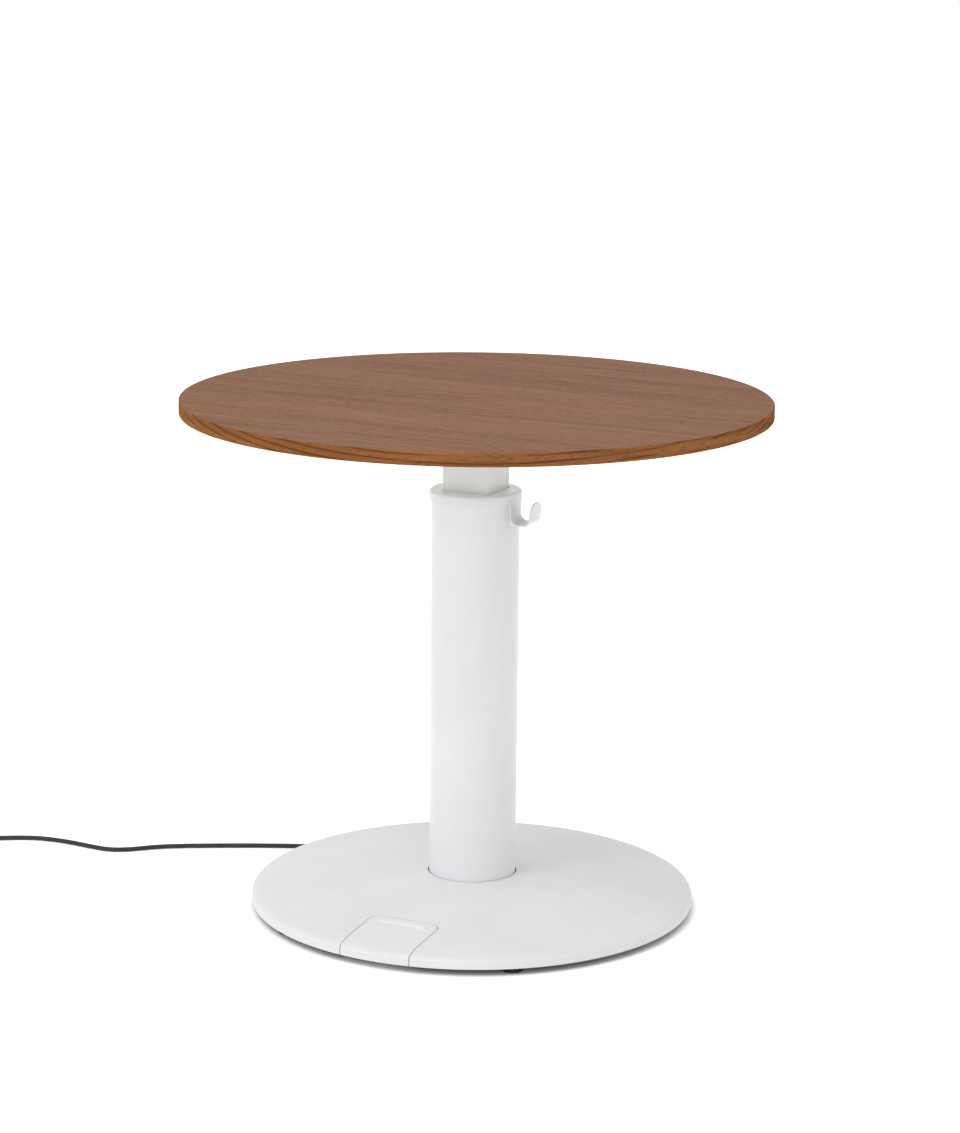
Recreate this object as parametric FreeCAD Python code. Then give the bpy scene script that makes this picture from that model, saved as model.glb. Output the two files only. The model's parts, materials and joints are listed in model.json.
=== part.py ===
import FreeCAD, Part
import math
import os

V = FreeCAD.Vector
UP = V(0, 0, 1)

# Worktop
TOP_DIAMETER = 800.0
TOP_HEIGHT = 711.0
TOP_THICKNESS = 18.0
VENEER = 0.7
EDGE_BAND = 1.0
EDGE_EASE = 0.6
HEAD_PLATE_SIDE = 230.0
HEAD_PLATE_CORNER = 24.0
HEAD_PLATE = 5.0
HUB_FLANGE_SIDE = 140.0
HUB_FLANGE = 6.0
HUB_WALL = 10.0
HUB_LENGTH = 30.0
HUB_CORNER = 12.0
HUB_FIT = 0.1
HUB_BOLT_INSET = 14.0
HUB_BOLT_R = 3.0
HUB_BOLT_HEAD_R = 5.0
HUB_BOLT_HEAD = 4.0
TOP_SCREW_INSET = 18.0
TOP_SCREW_R = 2.0
TOP_SCREW_HEAD_R = 4.2
TOP_SCREW_HEAD = 2.8
TOP_SCREW_BITE = 11.0

# Lift travel down from the height it is drawn at
LIFT_DOWN = 25.0

# Column and lift tube
COLUMN_DIAMETER = 120.0
COLUMN_WALL = 2.0
TUBE_SIDE = 70.0
TUBE_WALL = 2.5
TUBE_CORNER = 4.0
SLIDE_FIT = 0.3
GUIDE_FIT = 0.1
GUIDE_LENGTH = 60.0
RUNNER_LENGTH = 60.0
RUNNER_LIP = 4.0
RUNNER_LEDGE = 4.0
RUNNER_CLEAR = 13.0
RUNNER_SCREW_R = 2.0
RUNNER_SCREW_HEAD_R = 3.8
RUNNER_SCREW_HEAD = 3.0
RUNNER_SCREW_SINK = 2.5
COLLAR_WALL = 3.5
COLLAR_SKIRT = 10.0
COLLAR_CAP = 4.0
COLLAR_ROUND = 5.0
COLLAR_GAP = 1.2

# Drive inside the lift tube
MOTOR_R = 24.0
MOTOR_LENGTH = 85.0
MOTOR_TOP_GAP = 6.0
GEARBOX_R = 25.5
GEARBOX_LENGTH = 46.0
DRIVE_MOUNT = 24.0
SPINDLE_R = 8.0
SPINDLE_BORE_FIT = 0.06
BEARING_R = 16.0
BEARING_LENGTH = 12.0
COUPLING_R = 12.0
COUPLING_LENGTH = 14.0
COUPLING_CLEAR = 0.4
SPINDLE_CLEAR = 1.0
NUT_R = 17.0
NUT_LENGTH = 35.0
NUT_SPIGOT = 14.0
NUT_CLEAR = 8.0
SPINDLE_SPARE = 12.0
SPINDLE_FLOOR_GAP = 6.0
END_BUSH_LENGTH = 10.0
POST_R = 15.0
POST_WALL = 3.0
POST_FOOT_R = 46.0
POST_FOOT = 6.0
POST_BOLT_CIRCLE_R = 36.0
POST_BOLT_R = 3.0
STOP_INNER_R = 31.0
STOP_OUTER_R = 44.0
STOP_HEIGHT = 15.0
STOP_GAP = 2.0

# Base
BASE_DIAMETER = 610.6
FLOOR_GAP = 9.2
RIM_UPRIGHT = 8.6
RIM_ROUND = 6.0
SHOULDER_ROUND = 85.0
SHOULDER_TURN = 70.0
BASE_CENTRE_HEIGHT = 47.5
COVER_WALL = 2.5
COVER_COLUMN_GAP = 1.6
COVER_BOSS_R = 6.0
COVER_BOSS_CIRCLE_R = 240.0
COVER_SCREW_R = 2.0
COVER_SCREW_BITE = 7.0
PLATE_LIFT = 1.8
PLATE_THICKNESS = 7.0
PLATE_EDGE_GAP = 6.0
FLANGE_R = 90.0
FLANGE_THICKNESS = 8.0
FLANGE_CLEAR = 2.0
FLANGE_BOLT_CIRCLE_R = 76.0
FLANGE_BOLT_R = 4.0
FLANGE_BOLTS = 6
BOLT_FIT = 0.1
HEX_ACROSS = 13.0
HEX_HEIGHT = 4.5
PAN_HEAD_R = 3.8
PAN_HEAD = 2.6
HEAD_ROUND = 0.9
SOCKET_SHARE = 0.85
SOCKET_DEPTH = 1.5

# Levelling feet
FEET = 5
FOOT_INSET = 21.6
FOOT_PAD_R = 13.0
FOOT_PAD_ROUND = 2.0
FOOT_PAD_HEIGHT = 8.0
FOOT_NECK_R = 8.0
FOOT_STEM_R = 4.0
FOOT_STEM_SPARE = 0.5
FOOT_NUT_ACROSS = 15.0
FOOT_NUT = 5.0
THREAD_FIT = 0.08

# Pedal
PEDAL_WIDTH = 100.0
PEDAL_DEPTH = 101.7
PEDAL_CORNER = 14.0
PEDAL_GAP = 1.3
PEDAL_WALL = 3.0
PEDAL_ROOM = 22.0
TREAD_LENGTH = 70.0
TREAD_WIDTH = 6.0
TREAD_CORNER = 2.0
TREAD_SINK = 1.2
TREAD_RISE = 1.2
TREAD_FROM_RIM = 85.7
TREAD_FIT = 0.05
PIN_SETBACK = 3.0
PIN_HEIGHT = 8.0
PIN_R = 2.5
PIN_FIT = 0.05
LUG_R = 5.0
LUG_INNER_X = 35.0
LUG_WIDTH = 6.0
LUG_REACH = 18.0
EAR_GAP = 2.0
EAR = 2.5
BRACKET_FLOOR = 2.0
BRACKET_BACK = 14.0
BRACKET_SCREW_R = 2.0
BRACKET_SCREW_APART = 50.0
BRACKET_SCREW_INSET = 5.0
PIN_END = 1.5
SPRING_X = 30.0
SPRING_FROM_RIM = 42.6
SPRING_R = 4.5
SPRING_WIRE = 0.9
SPRING_TURNS = 4
SPRING_GAP = 0.8
SPIGOT_R = 3.0
SPIGOT_LENGTH = 2.0
SWITCH_FROM_RIM = 61.6
SWITCH_SIDE = 14.0
SWITCH_HEIGHT = 4.4
SWITCH_FLOOR = 0.6
PLUNGER_R = 2.5
PLUNGER_FIT = 0.08
PLUNGER_LOW = 3.2
PLUNGER_TOP = 7.7
PLUNGER_GAP = 0.3
PLUNGER_BOSS_R = 3.5

# Bag hook
HOOK_FIT = 0.05
HOOK_SHEET = 2.4
HOOK_HEEL_ROUND = 5.0
HOOK_THROAT = 23.5
HOOK_THROAT_ROUND = 10.0
HOOK_BEND_R = 8.0
HOOK_DROP = 29.0
HOOK_WIDTH = 36.0
HOOK_LEAN = 7.0
HOOK_TONGUE = 23.5
HOOK_TIP_ROUND = 15.5
HOOK_EDGE_ROUND = 0.7
HOOK_TAB = 7.0
HOOK_TAB_SHEET = 1.5
HOOK_SCREW_R = 2.0
HOOK_SCREW_APART = 18.0
HOOK_SCREW_DROP = 7.5
HOOK_SCREW_BITE = 1.6
HOOK_SCREW_HEAD_R = 3.5
HOOK_SCREW_HEAD = 2.5
HOOK_POCKET = 3.0

# Control box in the base
CORD_ANGLE = 155.0
BOX_NEAR = 115.0
BOX_LENGTH = 60.0
BOX_WIDTH = 110.0
BOX_WALL = 2.0
BOX_HEADROOM = 1.5
BOX_LIFT = 0.5
BOX_FIT = 0.5
LID = 2.0
TRAY_EAR = 10.0
TRAY_EAR_SHEET = 2.0
TRAY_EAR_INSET = 8.0
TRAY_SCREW_R = 2.0
STANDOFF = 3.0
STANDOFF_R = 3.0
BOARD = 1.6
BOARD_MARGIN = 2.0
BOARD_COIL_SIDE = 24.0
BOARD_COIL_HEIGHT = 9.0
BOARD_CAN_R = 5.0
BOARD_CAN_HEIGHT = 10.0

# Leads
CORD_R = 3.25
CORD_EXIT_HEIGHT = 17.0
CORD_NOTCH = 24.0
CORD_FIRST_RUN = 23.0
BOOT_LENGTH = 26.0
BOOT_FLANGE = 2.0
BOOT_FLANGE_R = 5.4
BOOT_ROOT_R = 5.0
BOOT_TIP_R = 4.0
COIL_OUTER_R = 44.0
COIL_PITCH = 7.1
COIL_LAYER = 7.1
COIL_QUARTERS = 20
TIE_SHEET = 1.2
TIE_FIT = 0.8
TIE_WIDTH = 12.0
TIE_ROUND = 1.0
TAIL = 36.0
PLUG_BOOT = 20.0
PLUG_BOOT_R = 5.5
PLUG_LENGTH = 34.0
PLUG_WIDTH = 28.0
PLUG_ROUND = 5.0
BLADE_LENGTH = 17.5
BLADE_WIDTH = 6.3
BLADE = 1.5
BLADE_APART = 12.7
EARTH_R = 2.4
EARTH_LENGTH = 21.0
EARTH_OFFSET = 11.9
BLADE_OFFSET = 4.5
MOTOR_LEAD_R = 2.0
MOTOR_LEAD_COIL_R = 22.0
MOTOR_LEAD_TURNS = 24
MOTOR_LEAD_RISE = 14.0
SOCKET_SIDE = 10.0
SOCKET_HEIGHT = 10.0
HARNESS_R = 2.0
HARNESS_CLEAR = 0.4
HARNESS_BOW = 3.0
HARNESS_END = 15.0
WIRE_R = 1.5
WIRE_CLEAR = 0.3
WIRE_END_RUN = 40.0

# Levels and radii that follow
base_r = BASE_DIAMETER / 2
column_r = COLUMN_DIAMETER / 2
bore_r = column_r - COLUMN_WALL
plate_low = FLOOR_GAP + PLATE_LIFT
plate_top = plate_low + PLATE_THICKNESS
plate_r = base_r - COVER_WALL - PLATE_EDGE_GAP
flange_top = plate_top + FLANGE_THICKNESS
foot_top = plate_top + POST_FOOT
stop_top = foot_top + STOP_HEIGHT
runner_low = stop_top + STOP_GAP + LIFT_DOWN
tube_low = runner_low + RUNNER_LIP
under_top = TOP_HEIGHT - TOP_THICKNESS
head_low = under_top - HEAD_PLATE
hub_flange_low = head_low - HUB_FLANGE
hub_low = hub_flange_low - HUB_LENGTH
motor_top = head_low - MOTOR_TOP_GAP
motor_low = motor_top - MOTOR_LENGTH
gearbox_low = motor_low - GEARBOX_LENGTH
mount_low = gearbox_low - DRIVE_MOUNT
nut_top = mount_low - LIFT_DOWN - NUT_CLEAR
post_top = nut_top - NUT_LENGTH
spindle_low = plate_top + LIFT_DOWN + SPINDLE_FLOOR_GAP
lift_up = post_top - NUT_SPIGOT - SPINDLE_SPARE - spindle_low
column_top = runner_low + RUNNER_LENGTH + lift_up + RUNNER_CLEAR + GUIDE_LENGTH
collar_low = column_top - COLLAR_SKIRT
collar_top = column_top + COLLAR_CAP
post_bore_r = POST_R - POST_WALL
tube_inside = TUBE_SIDE - 2 * TUBE_WALL
pedal_back = base_r - PEDAL_DEPTH
pin_y = PIN_SETBACK - pedal_back
pin_z = plate_top + PIN_HEIGHT
spring_y = SPRING_FROM_RIM - base_r
switch_y = SWITCH_FROM_RIM - base_r
plunger_top = plate_top + PLUNGER_TOP
foot_circle_r = base_r - FOOT_INSET
foot_angles = [-90 + 360 / FEET * (i + 0.5) for i in range(FEET)]
boss_angles = [-90 + 360 / FEET * i for i in range(1, FEET)]
flange_angles = [CORD_ANGLE + 360 / FLANGE_BOLTS * (i + 0.5) for i in range(FLANGE_BOLTS)]
box_far = BOX_NEAR + BOX_LENGTH
hook_back = column_r + HOOK_FIT
hook_front = hook_back + HOOK_SHEET
hook_low = collar_low - HOOK_DROP
hook_floor = hook_low + HOOK_SHEET
hook_bend_x = hook_front + HOOK_THROAT - HOOK_BEND_R * math.cos(math.radians(HOOK_LEAN))
hook_screw_z = collar_low - HOOK_SCREW_DROP


def polar(radius, degrees, z=0.0):
    angle = math.radians(degrees)
    return V(radius * math.cos(angle), radius * math.sin(angle), z)


def turned(shape, degrees):
    copy = shape.copy()
    copy.rotate(V(0, 0, 0), UP, degrees)
    return copy


def disc(radius, low, high, x=0.0, y=0.0):
    return Part.makeCylinder(radius, high - low, V(x, y, low))


def ring(outer, inner, low, high, x=0.0, y=0.0):
    return disc(outer, low, high, x, y).cut(disc(inner, low, high, x, y))


def rod(radius, start, end):
    return Part.makeCylinder(radius, (end - start).Length, start, end - start)


def block(x0, x1, y0, y1, low, high):
    return Part.makeBox(x1 - x0, y1 - y0, high - low, V(x0, y0, low))


def rounded_block(width, depth, corner, low, high, x=0.0, y=0.0):
    shape = block(x - width / 2, x + width / 2, y - depth / 2, y + depth / 2, low, high)
    upright = [e for e in shape.Edges if abs(e.Vertexes[0].Z - e.Vertexes[1].Z) > high - low - 0.001]
    return shape.makeFillet(corner, upright)


def hexagon(across, low, high, x=0.0, y=0.0):
    corner_r = across / math.sqrt(3)
    corners = [V(x, y, low) + polar(corner_r, 60 * i) for i in range(7)]
    return Part.Face(Part.makePolygon(corners)).extrude(V(0, 0, high - low))


def screw(x, y, seat, tip, shank_r, head_r, head):
    side = 1 if tip > seat else -1
    face = seat - side * head
    floor = face + side * SOCKET_DEPTH
    cap = rod(head_r, V(x, y, seat), V(x, y, face))
    rim = [e for e in cap.Edges if e.Closed and abs(e.CenterOfMass.z - face) < 0.001]
    cap = cap.makeFillet(HEAD_ROUND, rim)
    socket = hexagon(SOCKET_SHARE * head_r, min(face, floor), max(face, floor), x, y)
    shank = rod(shank_r, V(x, y, seat), V(x, y, tip))
    return shank.fuse(cap).removeSplitter().cut(socket)


def hex_bolt(x, y, seat, tip, shank_r):
    shank = disc(shank_r, seat, tip, x, y)
    return shank.fuse(hexagon(HEX_ACROSS, seat - HEX_HEIGHT, seat, x, y)).removeSplitter()


def group(shapes):
    return Part.makeCompound(shapes)


def joined(shapes):
    return shapes[0].fuse(shapes[1:]).removeSplitter()


def turned_face(edges):
    return Part.Face(Part.Wire(edges)).revolve(V(0, 0, 0), UP, 360)


def line(a, b):
    return Part.LineSegment(a, b).toShape()


def arc(a, middle, b):
    return Part.Arc(a, middle, b).toShape()


# Routes of leads: straight runs joined by tangent arcs
def route_wire(points):
    edges = []
    radii = []
    last = points[0]
    for before, corner, after in zip(points, points[1:], points[2:]):
        arriving = (corner - before).normalize()
        leaving = (after - corner).normalize()
        half = arriving.getAngle(leaving) / 2
        setback = 0.45 * min((corner - before).Length, (after - corner).Length)
        radius = setback / math.tan(half)
        inward = (leaving - arriving).normalize()
        middle = corner + inward * (radius / math.cos(half) - radius)
        start = corner - arriving * setback
        end = corner + leaving * setback
        edges.append(line(last, start))
        edges.append(arc(start, middle, end))
        radii.append(radius)
        last = end
    edges.append(line(last, points[-1]))
    return Part.Wire(edges), radii


def swept_tube(wire, radius):
    first = wire.Edges[0]
    start = first.valueAt(first.FirstParameter)
    ahead = first.tangentAt(first.FirstParameter)
    profile = Part.Wire([Part.Circle(start, ahead, radius).toShape()])
    shell = Part.BRepOffsetAPI.MakePipeShell(wire)
    shell.add(profile)
    shell.build()
    shell.makeSolid()
    return shell.shape()


def report_tube(name, solid, wire, radius, note):
    ideal = math.pi * radius ** 2 * wire.Length
    print("%s: length %.1f mm, volume %.4f of section times length, %s"
          % (name, wire.Length, solid.Volume / ideal, note))


def routed_lead(name, points, radius):
    wire, radii = route_wire(points)
    tube = swept_tube(wire, radius)
    report_tube(name, tube, wire, radius, "least bend radius %.1f mm" % min(radii))
    return tube


# Wound forms: two arcs between each pair of stations on the winding
def half_arc(end_a, pole, end_b):
    chord_middle = (end_a + end_b) * 0.5
    half_chord = (end_b - end_a).Length / 2
    lean = math.acos(min(1.0, half_chord / (pole - end_a).Length))
    if lean < 1e-4:
        return line(end_a, end_b)
    middle = chord_middle + (pole - chord_middle) * (math.tan(lean / 2) / math.tan(lean))
    return arc(end_a, middle, end_b)


def biarc(start, ahead, end, onward):
    span = end - start
    both = ahead + onward
    bend = 2 * (1 - ahead.dot(onward))
    along = span.dot(both)
    if bend < 1e-9:
        reach = span.dot(span) / (2 * along)
    else:
        reach = (math.sqrt(along ** 2 + bend * span.dot(span)) - along) / bend
    pole_a = start + ahead * reach
    pole_b = end - onward * reach
    middle = (pole_a + pole_b) * 0.5
    return [half_arc(start, pole_a, middle), half_arc(middle, pole_b, end)]


def wound_wire(stations, lead_in=None, lead_out=None):
    edges = []
    if lead_in:
        edges.append(line(lead_in, stations[0][0]))
    for (start, ahead), (end, onward) in zip(stations, stations[1:]):
        edges += biarc(start, ahead, end, onward)
    if lead_out:
        edges.append(line(stations[-1][0], lead_out))
    return Part.Wire(edges)


def least_self_gap(wire, radius):
    samples = []
    travelled = 0.0
    for edge in wire.Edges:
        for point in edge.discretize(9)[:-1]:
            samples.append((travelled + (point - edge.valueAt(edge.FirstParameter)).Length, point))
        travelled += edge.Length
    apart = 4 * math.pi * radius
    least = min((b - a).Length for i, (s, a) in enumerate(samples)
                for t, b in samples[i + 1:] if t - s > apart)
    return least - 2 * radius


def wound_tube(name, wire, radius):
    tube = swept_tube(wire, radius)
    report_tube(name, tube, wire, radius, "least gap to itself %.2f mm" % least_self_gap(wire, radius))
    return tube


# Worktop
def worktop_core():
    core = disc(TOP_DIAMETER / 2 - EDGE_BAND, under_top + VENEER, TOP_HEIGHT - VENEER)
    holes = [disc(TOP_SCREW_R + BOLT_FIT, under_top, under_top + TOP_SCREW_BITE + BOLT_FIT, x, y)
             for x, y in top_screw_places()]
    return core.cut(holes)


def worktop_veneer():
    return disc(TOP_DIAMETER / 2 - EDGE_BAND, TOP_HEIGHT - VENEER, TOP_HEIGHT)


def worktop_backing():
    sheet = disc(TOP_DIAMETER / 2 - EDGE_BAND, under_top, under_top + VENEER)
    return sheet.cut([disc(TOP_SCREW_R + BOLT_FIT, under_top, under_top + VENEER, x, y)
                      for x, y in top_screw_places()])


def worktop_edge_band():
    outer_r = TOP_DIAMETER / 2
    band = ring(outer_r, outer_r - EDGE_BAND, under_top, TOP_HEIGHT)
    rims = [e for e in band.Edges if e.Closed and abs(e.Curve.Radius - outer_r) < 0.001]
    return band.makeFillet(EDGE_EASE, rims)


def top_screw_places():
    reach = HEAD_PLATE_SIDE / 2 - TOP_SCREW_INSET
    return [(x, y) for x in (-reach, 0, reach) for y in (-reach, 0, reach) if x or y]


def hub_bolt_places():
    reach = HUB_FLANGE_SIDE / 2 - HUB_BOLT_INSET
    return [(x, y) for x in (-reach, reach) for y in (-reach, reach)]


def head_plate():
    plate = rounded_block(HEAD_PLATE_SIDE, HEAD_PLATE_SIDE, HEAD_PLATE_CORNER, head_low, under_top)
    holes = [disc(TOP_SCREW_R + BOLT_FIT, head_low, under_top, x, y) for x, y in top_screw_places()]
    holes += [disc(HUB_BOLT_R + BOLT_FIT, head_low, under_top, x, y) for x, y in hub_bolt_places()]
    return plate.cut(holes)


def worktop_screws():
    return group([screw(x, y, head_low, under_top + TOP_SCREW_BITE, TOP_SCREW_R, TOP_SCREW_HEAD_R,
                        TOP_SCREW_HEAD) for x, y in top_screw_places()])


def tube_hub():
    flange = rounded_block(HUB_FLANGE_SIDE, HUB_FLANGE_SIDE, HUB_CORNER, hub_flange_low, head_low)
    sleeve_side = TUBE_SIDE + 2 * HUB_WALL
    sleeve = rounded_block(sleeve_side, sleeve_side, HUB_CORNER, hub_low, hub_flange_low)
    hole_side = TUBE_SIDE + 2 * HUB_FIT
    hole = rounded_block(hole_side, hole_side, TUBE_CORNER + HUB_FIT, hub_low, head_low)
    holes = [disc(HUB_BOLT_R + BOLT_FIT, hub_flange_low, head_low, x, y) for x, y in hub_bolt_places()]
    return joined([flange, sleeve]).cut([hole] + holes)


def hub_bolts():
    return group([screw(x, y, hub_flange_low, under_top, HUB_BOLT_R, HUB_BOLT_HEAD_R, HUB_BOLT_HEAD)
                  for x, y in hub_bolt_places()])


# Lift tube, its runner and the drive inside it
def lift_tube():
    outside = rounded_block(TUBE_SIDE, TUBE_SIDE, TUBE_CORNER, tube_low, head_low)
    inside = rounded_block(tube_inside, tube_inside, TUBE_CORNER - TUBE_WALL, tube_low, head_low)
    return outside.cut([inside] + runner_screw_rods(RUNNER_SCREW_R + BOLT_FIT, 0.0, bore_r))


def runner_screw_rods(radius, inner, outer):
    z = runner_low + RUNNER_LENGTH / 2
    return [rod(radius, polar(inner, 90 * i, z), polar(outer, 90 * i, z)) for i in range(4)]


def tube_runner():
    outside = disc(bore_r - SLIDE_FIT, runner_low, runner_low + RUNNER_LENGTH)
    seat_side = TUBE_SIDE + 2 * GUIDE_FIT
    seat = rounded_block(seat_side, seat_side, TUBE_CORNER + GUIDE_FIT, tube_low, runner_low + RUNNER_LENGTH)
    way_side = TUBE_SIDE - 2 * RUNNER_LEDGE
    way = rounded_block(way_side, way_side, TUBE_CORNER, runner_low, tube_low)
    head_seat = runner_head_seat()
    sinks = runner_screw_rods(RUNNER_SCREW_HEAD_R + BOLT_FIT, head_seat, bore_r)
    holes = runner_screw_rods(RUNNER_SCREW_R + BOLT_FIT, 0.0, bore_r)
    return outside.cut([seat, way] + sinks + holes)


def runner_head_seat():
    return bore_r - SLIDE_FIT - RUNNER_SCREW_SINK - RUNNER_SCREW_HEAD


def runner_screws():
    head_seat = runner_head_seat()
    shanks = runner_screw_rods(RUNNER_SCREW_R, tube_inside / 2, head_seat)
    heads = runner_screw_rods(RUNNER_SCREW_HEAD_R, head_seat, head_seat + RUNNER_SCREW_HEAD)
    return group([joined([shank, head]) for shank, head in zip(shanks, heads)])


def motor():
    return disc(MOTOR_R, motor_low, motor_top)


def gearbox():
    recess = disc(COUPLING_R + COUPLING_CLEAR, gearbox_low, gearbox_low + COUPLING_LENGTH + COUPLING_CLEAR)
    return disc(GEARBOX_R, gearbox_low, motor_low).cut(recess)


def drive_mount():
    side = tube_inside - 2 * GUIDE_FIT
    body = rounded_block(side, side, TUBE_CORNER - TUBE_WALL, mount_low, gearbox_low)
    seat = disc(BEARING_R + BOLT_FIT, mount_low, mount_low + BEARING_LENGTH)
    way = disc(SPINDLE_R + SPINDLE_CLEAR, mount_low, gearbox_low)
    return body.cut([seat, way])


def spindle_bearing():
    return ring(BEARING_R, SPINDLE_R + SPINDLE_BORE_FIT, mount_low, mount_low + BEARING_LENGTH)


def drive_coupling():
    return ring(COUPLING_R, SPINDLE_R + SPINDLE_BORE_FIT, gearbox_low, gearbox_low + COUPLING_LENGTH)


def spindle():
    return disc(SPINDLE_R, spindle_low, gearbox_low + COUPLING_LENGTH)


def spindle_end_bush():
    outer_r = post_bore_r - BOLT_FIT
    return ring(outer_r, SPINDLE_R + SPINDLE_BORE_FIT, spindle_low, spindle_low + END_BUSH_LENGTH)


# Column
def column_tube():
    tube = ring(column_r, bore_r, flange_top, column_top)
    harness_way = rod(HARNESS_R + HARNESS_CLEAR, *harness_points()[2:4])
    return tube.cut([harness_way] + hook_screw_rods(HOOK_SCREW_R + BOLT_FIT, 0.0, 2 * column_r))


def column_flange():
    inner_r = POST_FOOT_R + FLANGE_CLEAR
    flange = ring(FLANGE_R, inner_r, plate_top, flange_top)
    return flange.cut([disc(FLANGE_BOLT_R + BOLT_FIT, plate_top, flange_top, p.x, p.y)
                       for p in flange_bolt_places()])


def flange_bolt_places():
    return [polar(FLANGE_BOLT_CIRCLE_R, angle) for angle in flange_angles]


def flange_bolts():
    return group([hex_bolt(p.x, p.y, plate_low, flange_top, FLANGE_BOLT_R) for p in flange_bolt_places()])


def upper_guide():
    outside = disc(bore_r - GUIDE_FIT, column_top - GUIDE_LENGTH, column_top)
    way_side = TUBE_SIDE + 2 * SLIDE_FIT
    way = rounded_block(way_side, way_side, TUBE_CORNER + SLIDE_FIT, column_top - GUIDE_LENGTH, column_top)
    half_width = HOOK_SCREW_APART / 2 + HOOK_SCREW_HEAD_R + BOLT_FIT
    depth = bore_r - HOOK_SCREW_HEAD - HOOK_POCKET
    pocket = block(depth, column_r, -half_width, half_width, hook_screw_z - HOOK_SCREW_HEAD_R - BOLT_FIT,
                   hook_screw_z + HOOK_SCREW_HEAD_R + BOLT_FIT)
    return outside.cut([way, pocket])


def collar():
    outer_r = column_r + COLLAR_WALL
    body = disc(outer_r, collar_low, collar_top)
    rim = [e for e in body.Edges if e.Closed and abs(e.CenterOfMass.z - collar_top) < 0.001]
    body = body.makeFillet(COLLAR_ROUND, rim)
    side = TUBE_SIDE + 2 * COLLAR_GAP
    way = rounded_block(side, side, TUBE_CORNER + COLLAR_GAP, collar_low, collar_top)
    seat = disc(column_r + HOOK_FIT, collar_low, column_top)
    tab_way = hook_band(column_r, HOOK_TAB_SHEET + 2 * HOOK_FIT, HOOK_WIDTH + 2 * HOOK_FIT,
                        collar_low, collar_low + HOOK_TAB + HOOK_FIT)
    return body.cut([way, seat, tab_way])


# Bag hook
def hook_band(inner_r, sheet, width, low, high):
    half = ring(inner_r + sheet, inner_r, low, high)
    return half.common(block(0.0, inner_r + 2 * sheet, -width / 2, width / 2, low, high))


def hook_screw_rods(radius, x0, x1):
    return [rod(radius, V(x0, y, hook_screw_z), V(x1, y, hook_screw_z))
            for y in (-HOOK_SCREW_APART / 2, HOOK_SCREW_APART / 2)]


def corner_arc(x, z, radius):
    inset = radius * (1 - math.sqrt(0.5))
    return [V(x, 0, z + radius), V(x + inset, 0, z + inset), V(x + radius, 0, z)]


def hook_plate():
    heel = corner_arc(hook_back, hook_low, HOOK_HEEL_ROUND)
    throat = corner_arc(hook_front, hook_floor, HOOK_THROAT_ROUND)
    low_end = V(throat[2].x, 0, hook_low)
    top_back, top_front = V(hook_back, 0, collar_low), V(hook_front, 0, collar_low)
    edges = [line(top_back, heel[0]), arc(*heel), line(heel[2], low_end), line(low_end, throat[2]),
             arc(*reversed(throat)), line(throat[0], top_front), line(top_front, top_back)]
    half = HOOK_WIDTH / 2
    return turned_face(edges).common(block(0.0, 2 * throat[2].x, -half, half, hook_low, collar_low))


def hook_tongue():
    lean = math.radians(HOOK_LEAN)
    up = V(math.sin(lean), 0, math.cos(lean)) * HOOK_TONGUE
    out = V(math.cos(lean), 0, -math.sin(lean))
    halfway = (out - UP).normalize()
    centre = V(hook_bend_x, 0, hook_floor + HOOK_BEND_R)
    outer_r = HOOK_BEND_R + HOOK_SHEET
    floor_x = math.sqrt((hook_front + HOOK_THROAT_ROUND) ** 2 - (HOOK_WIDTH / 2) ** 2)
    tip = centre + out * HOOK_BEND_R + up
    low_start, floor_start = V(floor_x, 0, hook_low), V(floor_x, 0, hook_floor)
    edges = [line(floor_start, centre - UP * HOOK_BEND_R),
             arc(centre - UP * HOOK_BEND_R, centre + halfway * HOOK_BEND_R, centre + out * HOOK_BEND_R),
             line(centre + out * HOOK_BEND_R, tip),
             line(tip, tip + out * HOOK_SHEET),
             line(tip + out * HOOK_SHEET, centre + out * outer_r),
             arc(centre + out * outer_r, centre + halfway * outer_r, centre - UP * outer_r),
             line(centre - UP * outer_r, low_start),
             line(low_start, floor_start)]
    strip = Part.Face(Part.Wire(edges)).extrude(V(0, HOOK_WIDTH, 0))
    strip.translate(V(0, -HOOK_WIDTH / 2, 0))
    corners = [e for e in strip.Edges if abs(e.Length - HOOK_SHEET) < 0.001
               and e.CenterOfMass.z > tip.z - HOOK_SHEET]
    return strip.makeFillet(HOOK_TIP_ROUND, corners)


def bag_hook():
    tab = hook_band(hook_back, HOOK_TAB_SHEET, HOOK_WIDTH, collar_low, collar_low + HOOK_TAB)
    bites = hook_screw_rods(HOOK_SCREW_R + BOLT_FIT, 0.0, column_r + HOOK_SCREW_BITE + BOLT_FIT)
    body = joined([hook_plate(), hook_tongue()])
    rims = [e for e in body.Edges if e.CenterOfMass.x > hook_bend_x and e.Length > 2 * HOOK_SHEET
            and abs(e.tangentAt(e.FirstParameter).y) < 0.999]
    return joined([body.makeFillet(HOOK_EDGE_ROUND, rims), tab]).cut(bites)


def hook_screws():
    reach = HOOK_SCREW_APART / 2 + HOOK_SCREW_HEAD_R
    seat = math.sqrt(bore_r ** 2 - reach ** 2)
    shanks = hook_screw_rods(HOOK_SCREW_R, seat, column_r + HOOK_SCREW_BITE)
    heads = hook_screw_rods(HOOK_SCREW_HEAD_R, seat - HOOK_SCREW_HEAD, seat)
    return group([joined([shank, head]) for shank, head in zip(shanks, heads)])


# Nut post inside the lift tube
def nut_post():
    return ring(POST_R, post_bore_r, foot_top, post_top)


def post_bolt_places():
    return [polar(POST_BOLT_CIRCLE_R, CORD_ANGLE + 45 + 90 * i) for i in range(4)]


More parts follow.
